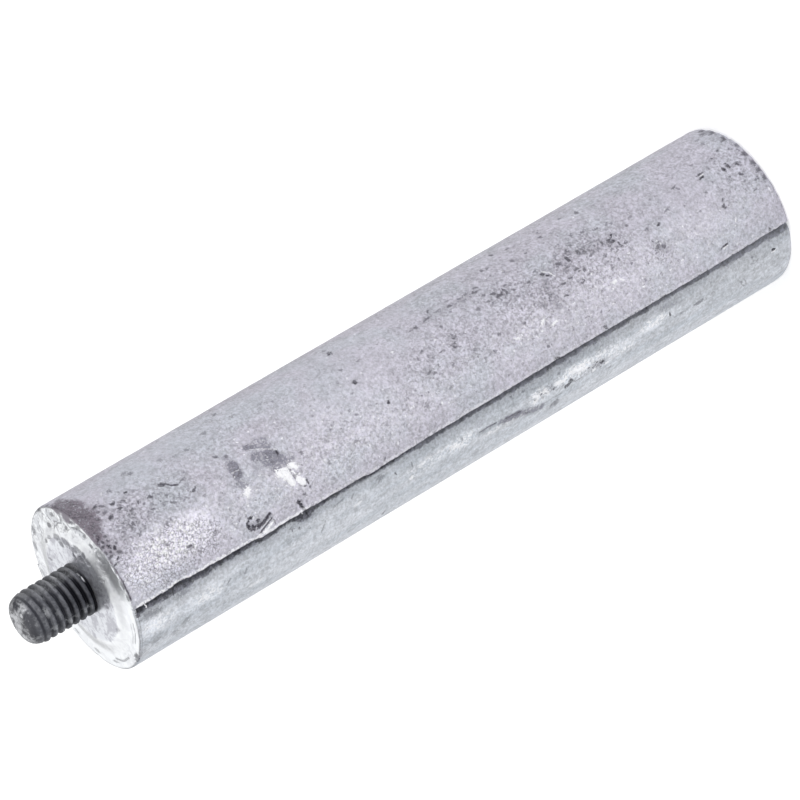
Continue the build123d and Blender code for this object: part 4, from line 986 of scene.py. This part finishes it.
def specks(scale, chance, small, big, soft, move):
    """Dark or light dots, their share set by `chance`, their radii between small and big in cells."""
    v = g.nt.nodes.new("ShaderNodeTexVoronoi")
    v.feature = "F1"
    g.feed(v.inputs["Vector"], g.offset(bent, move, -move, 0.5 * move))
    v.inputs["Scale"].default_value = scale
    v.inputs["Randomness"].default_value = 1.0
    sp = g.nt.nodes.new("ShaderNodeSeparateColor")
    g.feed(sp.inputs[0], v.outputs["Color"])
    size = g.m("MULTIPLY_ADD", sp.outputs[1], big - small, small)
    dot = g.ramp(g.m("SUBTRACT", v.outputs["Distance"], size), 0.0, soft, 1.0, 0.0)
    keep = g.ramp(g.m("SUBTRACT", chance, sp.outputs[0]), 0.0, 0.12)
    return g.m("MULTIPLY", g.m("MULTIPLY", dot, keep), g.m("MULTIPLY_ADD", sp.outputs[2], 0.5, 0.5))


share = g.m("MULTIPLY_ADD", g.m("MULTIPLY", speck_a, g.m("MULTIPLY_ADD", rub_a, -0.75, 1.0)), 0.52, g.m("MULTIPLY_ADD", half_a, 0.05, 0.05))
dots_a = specks(1.45, share, 0.10, 0.30, 0.16, 31.0)
dots_b = specks(2.35, g.m("MULTIPLY", share, 0.9), 0.12, 0.34, 0.20, 57.0)
speck_m = g.m("MAXIMUM", dots_a, g.m("MULTIPLY", dots_b, 0.85))
smudge_m = g.ramp(g.total(smudge_a, centred(g, n_grain, 1.7), centred(g, n_mid, 1.3), centred(g, n_ragged, 2.4), centred(g, n_fine, 0.9)), 0.24, 0.90)
smudge_m = g.m("MULTIPLY", smudge_m, g.m("MINIMUM", g.m("MULTIPLY", smudge_a, 1.4), 1.0))
dirty = g.m("SUBTRACT", 1.0, smudge_m)
# painted glints: small near-white highlights, thickest where the skin is rubbed
glints = specks(2.1, g.m("MULTIPLY_ADD", rub_a, 0.75, g.m("MULTIPLY_ADD", half_a, 0.055, 0.04)), 0.08, 0.30, 0.20, 83.0)
chips = specks(2.3, g.m("MULTIPLY_ADD", crack_a, 0.20, g.m("MULTIPLY_ADD", half_a, 0.08, 0.0)), 0.06, 0.30, 0.20, 97.0)
speck_m = g.m("MAXIMUM", speck_m, g.m("MULTIPLY", chips, 0.8))
glints = g.m("MULTIPLY", glints, dirty)

# fine cracks between cells of the worn skin
cells = g.voronoi(g.offset(bent, 9.0, 4.0, 2.0), 1.75, "DISTANCE_TO_EDGE")
gaps = g.ramp(cells, 0.025, 0.15, 1.0, 0.0)
gaps = g.m("MULTIPLY", gaps, g.ramp(g.m("ADD", crack_a, centred(g, n_mid, 1.6)), 0.25, 0.95))
gaps = g.m("MULTIPLY", gaps, g.ramp(n_ragged, 0.34, 0.56, 0.25, 1.0))

# dark and light marks with ragged edges
ragged = g.total(centred(g, n_ragged, 3.4), centred(g, n_grain, 0.8), centred(g, n_fine, 1.3))
patchy = g.total(0.98, centred(g, n_fine, 1.3), centred(g, c_grain, 0.35))
dark_m = g.ramp(g.total(dark_a, centred(g, n_ragged, 2.0), centred(g, n_grain, 0.8)), 0.50, 1.12)
dark_m = g.m("MULTIPLY", dark_m, g.m("MINIMUM", g.m("MULTIPLY", dark_a, 1.3), 1.0))
dark_m = g.m("MULTIPLY", g.most(dark_m, *[g.layer(k, ragged, 0.75) for k in dark_layers.names]), patchy)
dark_m = g.m("MINIMUM", dark_m, 1.12)
light_m = g.ramp(g.total(light_a, centred(g, n_ragged, 1.5), centred(g, n_fleck, 0.9)), 0.62, 0.98)
light_m = g.m("MULTIPLY", light_m, g.m("MINIMUM", g.m("MULTIPLY", light_a, 1.1), 1.0))
light_m = g.most(light_m, *[g.layer(k, ragged, 0.60) for k in light_layers.names])
fleck = g.ramp(n_fleck, 0.46, 0.60)
rub_m = g.m("MULTIPLY", rub_a, fleck)

# the mould line: painted shade, with some dirt, below a ragged edge, and a painted highlight on the burr above it
u_edge = g.total(seam_a, centred(g, n_ragged, 0.80), centred(g, n_grain, 0.22), centred(g, n_fine, 0.16))
below = g.ramp(u_edge, -0.03, 0.07, 1.0, 0.0)
reach = g.total(u_edge, band_a, centred(g, n_mid, 1.0), centred(g, n_one, 0.5))
sep = g.nt.nodes.new("ShaderNodeSeparateXYZ")
g.feed(sep.inputs[0], P)
far_half = g.ramp(sep.outputs[2], -54.0, -50.0, 1.0, 0.0)
reach = g.total(reach, g.m("MULTIPLY", far_half, -0.18), 0.14)
band_m = g.m("MULTIPLY", below, g.ramp(reach, -0.20, 0.20))
# a soft painted shade below the band, fading down the lower half
stain = g.m("MULTIPLY", g.m("MULTIPLY", below, g.ramp(reach, -1.5, 0.1)), g.m("ADD", 0.20, g.m("MULTIPLY", c_one, 0.28)))
groove_m = g.m("MAXIMUM", g.m("MULTIPLY", band_m, g.total(1.0, centred(g, c_grain, 0.16), centred(g, c_fine, 0.12))), stain)
deep_in = g.ramp(g.total(u_edge, g.m("MINIMUM", g.m("MULTIPLY", band_a, 0.75), 0.72), centred(g, n_mid, 1.2), centred(g, n_ragged, 0.9)), -0.22, 0.16)
groove_m = g.m("MULTIPLY", g.m("MULTIPLY", groove_m, groove_a), g.m("SUBTRACT", 1.0, g.m("MINIMUM", light_m, 1.0)))
# a painted highlight along the burr just above the edge
burr = g.m("ABSOLUTE", g.m("SUBTRACT", u_edge, 0.26))
burr_m = g.m("MULTIPLY", g.m("MULTIPLY", g.ramp(burr, 0.12, 0.32, 1.0, 0.0), g.ramp(n_fleck, 0.38, 0.54)), edge_a)

upper = g.mix(g.ramp(g.total(n_patch, g.m("MULTIPLY", grain_a, -0.16), g.m("MULTIPLY", g.attr("m_cool"), 0.16)), 0.40, 0.72), (0.499, 0.485, 0.552), (0.478, 0.492, 0.546))
lower = g.mix(g.ramp(n_long, 0.36, 0.64), (0.510, 0.540, 0.590), (0.600, 0.620, 0.665))
col = g.mix(half_a, lower, upper)
rough_k = g.m("ADD", 1.0, g.m("MULTIPLY", grain_a, 0.95))
small = g.total(centred(g, c_one, 0.16), centred(g, c_grain, 0.33), centred(g, c_fine, 0.13))
# overall tone of each half, with the painted highlight of the rubbed areas and the painted light and shade of the soft
# tone blobs
tone = g.total(1.0, centred(g, c_mid, 0.11), g.m("MULTIPLY", small, rough_k), g.m("MULTIPLY", rub_a, 0.47), g.m("MULTIPLY", tone_a, 0.26))
small_low = g.total(centred(g, g.ramp(n_drawn, 0.34, 0.66), 0.10), centred(g, c_grain, 0.24), centred(g, c_one, 0.15), centred(g, c_fine, 0.10))
tone_low = g.total(0.97, centred(g, c_mid, 0.13), g.m("MULTIPLY", small_low, rough_k), g.m("MULTIPLY", rub_a, 0.08), g.m("MULTIPLY", tone_a, 0.20))
tone = g.blend(half_a, tone_low, tone)
col = g.mix(1.0, col, g.grey(tone), "MULTIPLY")
# rubbed whitish metal, with a painted highlight laid into it
col = g.mix(g.m("MULTIPLY", rub_m, 0.90), col, (0.99, 0.985, 1.0))
smudge_c = g.mix(g.ramp(g.total(n_ragged, centred(g, c_grain, 0.12)), 0.38, 0.60), (0.048, 0.041, 0.053), (0.215, 0.185, 0.222))
far = g.ramp(sep.outputs[2], -14.0, -7.0, 1.0, 0.0)
smudge_g = g.mix(g.ramp(g.total(n_ragged, centred(g, c_grain, 0.12)), 0.38, 0.60), (0.120, 0.116, 0.145), (0.265, 0.262, 0.315))
smudge_c = g.mix(far, smudge_c, smudge_g)
col = g.mix(g.m("MULTIPLY", smudge_m, 0.92), col, smudge_c)
col = g.mix(g.m("MULTIPLY", gaps, 0.66), col, (0.130, 0.124, 0.150))
col = g.mix(g.m("MULTIPLY", speck_m, 0.60), col, (0.105, 0.100, 0.130))
# painted glints
col = g.mix(g.m("MULTIPLY", glints, 0.86), col, (0.95, 0.95, 0.99))
col = g.mix(g.m("MULTIPLY", dark_m, 0.86), col, (0.052, 0.049, 0.064))
col = g.mix(light_m, col, (0.95, 0.95, 0.98))
# painted highlight on the burr
col = g.mix(g.m("MULTIPLY", burr_m, 0.85), col, (0.92, 0.92, 0.95))
# colour of the painted shade, with some dirt, in the corner under the proud edge
groove_c = g.mix(deep_in, (0.150, 0.153, 0.182), g.mix(g.ramp(g.m("ADD", band_a, g.m("MULTIPLY", edge_a, 0.10)), 0.72, 0.95), (0.022, 0.022, 0.032), g.mix(g.ramp(edge_a, 0.55, 0.95), (0.118, 0.120, 0.144), (0.058, 0.059, 0.074))))
groove_c = g.mix(1.0, groove_c, g.grey(g.total(1.0, centred(g, c_grain, 0.95), centred(g, c_fine, 0.55), centred(g, c_one, 0.70))), "MULTIPLY")
col = g.mix(groove_m, col, groove_c)
g.feed(g.bsdf.inputs["Base Color"], col)
g.bsdf.inputs["Metallic"].default_value = 0.42
rgh = g.total(0.40, g.m("MULTIPLY", n_grain, 0.22), g.m("MULTIPLY", smudge_m, 0.12), g.m("MULTIPLY", dark_m, 0.2), g.m("MULTIPLY", light_m, -0.14), g.m("MULTIPLY", groove_m, 0.3))
g.feed(g.bsdf.inputs["Roughness"], g.m("MAXIMUM", rgh, 0.22))
fine_h = g.total(g.m("MULTIPLY", n_one, 0.18), g.m("MULTIPLY", n_grain, 0.22), g.m("MULTIPLY", n_fine, 0.04), g.m("MULTIPLY", g.m("MULTIPLY", rub_a, n_fleck), 0.16))
low_h = g.total(g.m("MULTIPLY", n_one, 0.11), g.m("MULTIPLY", n_grain, 0.10), g.m("MULTIPLY", n_drawn, 0.04))
height = g.m("MULTIPLY", g.blend(half_a, low_h, fine_h), g.m("ADD", 0.95, g.m("MULTIPLY", grain_a, 0.6)))
height = g.m("SUBTRACT", height, g.total(g.m("MULTIPLY", dark_m, 0.09), g.m("MULTIPLY", speck_m, 0.055), g.m("MULTIPLY", gaps, 0.06)))
height = g.m("ADD", height, g.total(g.m("MULTIPLY", light_m, 0.05), g.m("MULTIPLY", glints, 0.03)))
g.feed(g.bsdf.inputs["Normal"], g.bump(height))
skin_mat = g.mat

# --- stud-end face
g = Nodes("turned_face")
P = g.mm
dark_a, speck_a, smudge_a, foil_a, rim_a = g.attr("m_dark"), g.attr("m_speck"), g.attr("m_smudge"), g.attr("m_crack"), g.attr("m_edge")
ln = g.nt.nodes.new("ShaderNodeVectorMath")
ln.operation = "LENGTH"
g.feed(ln.inputs[0], g.stretch(g.offset(P, -AX, -AY, 0.0), 1.0, 1.0, 0.0))
rad_n = ln.outputs["Value"]
n_mid = g.noise(P, 0.50, 3, 0.55, 0.6, at=41.0)
n_one = g.noise(P, 1.1, 2, 0.5, 0.5, at=42.0)
n_grain = g.noise(P, 1.9, 3, 0.6, 0.5, at=43.0)
n_ragged = g.noise(P, 2.9, 3, 0.65, 0.5, at=47.0)
comb = g.nt.nodes.new("ShaderNodeCombineXYZ")
g.feed(comb.inputs[0], rad_n)
g.feed(comb.inputs[1], g.m("MULTIPLY", n_mid, 0.4))
rings = g.noise(comb.outputs[0], 2.4, 3, 0.65, 0.0, at=53.0)
rad_w = g.total(rad_n, centred(g, n_mid, 1.1), centred(g, n_one, 0.4))
top_m = g.ramp(rad_w, BOSS_R - 0.35, BOSS_R + 0.15, 1.0, 0.0)
end_m = g.ramp(rad_w, BOSS_FOOT - 0.2, BOSS_FOOT + 0.25)
ragged = g.m("ADD", centred(g, n_ragged, 1.5), centred(g, n_grain, 0.5))
dark_m = g.ramp(g.m("ADD", dark_a, centred(g, n_ragged, 1.3)), 0.50, 0.95)
dark_m = g.m("MULTIPLY", dark_m, g.m("MINIMUM", g.m("MULTIPLY", dark_a, 1.2), 1.0))
dark_m = g.m("MINIMUM", g.most(dark_m, *[g.layer(k, ragged, 0.7) for k in dark_layers.names]), 1.1)
cut = g.m("SUBTRACT", 0.76, g.m("MULTIPLY", speck_a, 0.24))
speck_m = g.m("MULTIPLY", g.ramp(n_ragged, cut, g.m("ADD", cut, 0.10)), g.m("MULTIPLY", speck_a, 0.9))
smudge_m = g.ramp(g.m("ADD", smudge_a, centred(g, n_grain, 1.0)), 0.25, 0.80)
smudge_m = g.m("MULTIPLY", smudge_m, g.m("MINIMUM", g.m("MULTIPLY", smudge_a, 1.4), 1.0))
# crumpled, foil-like cast metal outside the boss
foil = g.ramp(g.m("ADD", n_mid, centred(g, n_one, 0.5)), 0.42, 0.52)
creases = g.ramp(g.voronoi(g.offset(P, 3.0, 1.0, 0.0), 0.62, "DISTANCE_TO_EDGE"), 0.02, 0.12, 1.0, 0.0)
creases = g.m("MULTIPLY", creases, g.m("MULTIPLY", foil_a, g.ramp(n_one, 0.40, 0.60)))
end_c = g.mix(g.m("MULTIPLY", g.m("SUBTRACT", 1.0, foil), g.m("ADD", 0.25, g.m("MULTIPLY", foil_a, 0.75))), (0.89, 0.910, 0.935), (0.64, 0.655, 0.69))
slope_c = g.mix(g.ramp(n_mid, 0.36, 0.62), (0.81, 0.825, 0.855), (0.90, 0.918, 0.938))
top_c = g.mix(g.ramp(g.m("ADD", g.m("MULTIPLY", n_mid, 0.6), g.m("MULTIPLY", n_grain, 0.4)), 0.42, 0.58), (0.49, 0.495, 0.545), (0.765, 0.785, 0.83))
col = g.mix(end_m, slope_c, end_c)
col = g.mix(top_m, col, top_c)
col = g.mix(g.m("MULTIPLY", creases, 0.6), col, (0.30, 0.30, 0.34))
# painted shade along the rim's chamfer
col = g.mix(g.m("MULTIPLY", rim_a, g.ramp(g.m("ADD", n_one, centred(g, n_ragged, 0.5)), 0.38, 0.56, 0.25, 1.0)), col, (0.18, 0.175, 0.20))
col = g.mix(g.m("MULTIPLY", smudge_m, 0.78), col, (0.20, 0.17, 0.21))
col = g.mix(g.m("MULTIPLY", speck_m, 0.65), col, (0.20, 0.20, 0.23))
col = g.mix(g.m("MULTIPLY", dark_m, 0.72), col, (0.13, 0.13, 0.15))
g.feed(g.bsdf.inputs["Base Color"], col)
g.bsdf.inputs["Metallic"].default_value = 0.85
rgh = g.total(0.27, g.m("MULTIPLY", n_grain, 0.10), g.m("MULTIPLY", top_m, 0.02), g.m("MULTIPLY", dark_m, 0.25), g.m("MULTIPLY", speck_m, 0.2), g.m("MULTIPLY", smudge_m, 0.25))
g.feed(g.bsdf.inputs["Roughness"], rgh)
end_h = g.total(g.m("MULTIPLY", n_one, 0.05), g.m("MULTIPLY", g.m("MULTIPLY", n_mid, foil_a), 0.30), g.m("MULTIPLY", g.m("MULTIPLY", n_one, foil_a), 0.12))
top_h = g.total(g.m("MULTIPLY", n_grain, 0.025), g.m("MULTIPLY", n_one, 0.03), g.m("MULTIPLY", rings, 0.006))
height = g.m("SUBTRACT", g.blend(top_m, end_h, top_h), g.total(g.m("MULTIPLY", dark_m, 0.07), g.m("MULTIPLY", speck_m, 0.05), g.m("MULTIPLY", creases, 0.06)))
g.feed(g.bsdf.inputs["Normal"], g.bump(height))
face_mat_ = g.mat

# --- stud
g = Nodes("dark_steel")
P = g.mm
crest_a, tip_a, spark_a, gloom_a, pale_a = g.attr("m_crest"), g.attr("m_tip"), g.attr("m_spark"), g.attr("m_gloom"), g.attr("m_pale")
n_mid = g.noise(P, 0.60, 3, 0.55, 0.4, at=61.0)
n_grain = g.noise(P, 2.2, 3, 0.6, 0.4, at=67.0)
n_fine = g.noise(P, 5.5, 2, 0.6, 0.0, at=71.0)
# painted sheen along the top of the stud and painted shade near the boss, taken apart
haze = g.m("MAXIMUM", g.m("MULTIPLY", gloom_a, -1.0), 0.0)
gloom_a = g.m("MAXIMUM", gloom_a, 0.0)
# thread roots: painted shade, with some dirt, deeper where the painted shade near the boss lies
valley = g.mix(gloom_a, (0.032, 0.033, 0.042), (0.008, 0.008, 0.012))
valley = g.mix(haze, valley, (0.120, 0.124, 0.132))
ridge = g.mix(g.ramp(g.m("ADD", g.m("MULTIPLY", n_mid, 0.6), g.m("MULTIPLY", n_grain, 0.4)), 0.38, 0.62), (0.100, 0.103, 0.118), (0.190, 0.194, 0.212))
ridge = g.mix(g.m("MULTIPLY", gloom_a, 0.55), ridge, (0.050, 0.051, 0.062))
ridge = g.mix(g.m("MULTIPLY", haze, 0.5), ridge, (0.200, 0.205, 0.215))
base = g.mix(g.ramp(g.total(crest_a, g.m("MULTIPLY", gloom_a, -0.16), centred(g, n_mid, 0.25)), 0.08, 0.74), valley, ridge)
# painted highlights, near white for the catch light on the burr
base = g.mix(g.m("MULTIPLY", g.m("MULTIPLY", spark_a, g.ramp(g.total(n_grain, g.m("MULTIPLY", crest_a, 0.12), g.m("MULTIPLY", spark_a, 0.10)), 0.46, 0.64)), 0.85), base, g.mix(g.ramp(spark_a, 1.4, 2.4), (0.46, 0.47, 0.49), (0.90, 0.90, 0.92)))
# tip colour: lighter with the pale mottles and painted light, darker under the painted shade
tip_c = g.mix(g.ramp(g.total(g.m("MULTIPLY", n_mid, 0.55), g.m("MULTIPLY", n_grain, 0.45), g.m("MULTIPLY", pale_a, 0.20)), 0.40, 0.66), (0.070, 0.071, 0.082), (0.54, 0.55, 0.57))
base = g.mix(tip_a, base, tip_c)
base = g.mix(1.0, base, g.grey(g.total(0.66, g.m("MULTIPLY", n_grain, 0.50), g.m("MULTIPLY", n_fine, 0.18))), "MULTIPLY")
g.feed(g.bsdf.inputs["Base Color"], base)
g.bsdf.inputs["Metallic"].default_value = 0.5
g.feed(g.bsdf.inputs["Roughness"], g.total(0.40, g.m("MULTIPLY", n_grain, 0.18), g.m("MULTIPLY", g.m("SUBTRACT", 1.0, crest_a), 0.12)))
g.bsdf.inputs["Specular IOR Level"].default_value = 0.22
g.feed(g.bsdf.inputs["Normal"], g.bump(g.total(g.m("MULTIPLY", n_grain, 0.045), g.m("MULTIPLY", n_fine, 0.014))))
stud_mat = g.mat


body.data.materials.append(skin_mat)
body.data.materials.append(face_mat_)
body.data.polygons.foreach_set("material_index", mat_index)
stud.data.materials.append(stud_mat)

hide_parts("anode_body")
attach(body, "root")
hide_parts("steel_core")
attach(stud, "root")

# ---------------------------------------------------------------- floor and light
g = Nodes("pale_floor")
P = g.mm
n1 = g.noise(P, 0.02, 2, 0.5, 0.0, at=81.0)
g.feed(g.bsdf.inputs["Base Color"], g.mix(n1, (0.90, 0.905, 0.91), (0.93, 0.93, 0.93)))
g.bsdf.inputs["Roughness"].default_value = 0.9
g.bsdf.inputs["Emission Color"].default_value = (1.0, 1.0, 1.0, 1.0)
g.bsdf.inputs["Emission Strength"].default_value = 0.35
me = bpy.data.meshes.new("floor")
zf = -(LENGTH + BOSS_H) * 0.001 - 0.00002
q = 3.0
me.from_pydata([(-q, -q, zf), (q, -q, zf), (q, q, zf), (-q, q, zf)], [], [(0, 1, 2, 3)])
floor = bpy.data.objects.new("floor", me)
scene.collection.objects.link(floor)
me.materials.append(g.mat)

world = bpy.data.worlds.new("studio")
scene.world = world
world.use_nodes = True
bg = world.node_tree.nodes["Background"]
bg.inputs["Color"].default_value = (1.0, 1.0, 1.0, 1.0)
bg.inputs["Strength"].default_value = 0.35


def softbox(name, az, el, dist, size, power, colour=(1, 1, 1), target=(0, 0, -0.06)):
    d = Vector((math.cos(math.radians(az)) * math.cos(math.radians(el)), math.sin(math.radians(az)) * math.cos(math.radians(el)), math.sin(math.radians(el))))
    li = bpy.data.lights.new(name, "AREA")
    li.shape = "RECTANGLE"
    li.size, li.size_y = size
    li.energy = power
    li.color = colour
    ob = bpy.data.objects.new(name, li)
    scene.collection.objects.link(ob)
    pos = Vector(target) + d * dist
    ob.matrix_world = Matrix.Translation(pos) @ d.to_track_quat("Z", "Y").to_matrix().to_4x4()
    return ob


softbox("key", 78, 36, 0.9, (0.35, 0.35), 2.6, (1.0, 0.985, 1.0))
softbox("fill", -40, 28, 1.0, (0.45, 0.45), 1.6, (0.97, 0.99, 1.0))
softbox("overhead", 0, 89.9, 1.3, (1.1, 1.1), 7.5)
softbox("behind", 212, 31, 1.0, (0.55, 0.65), 0.95)
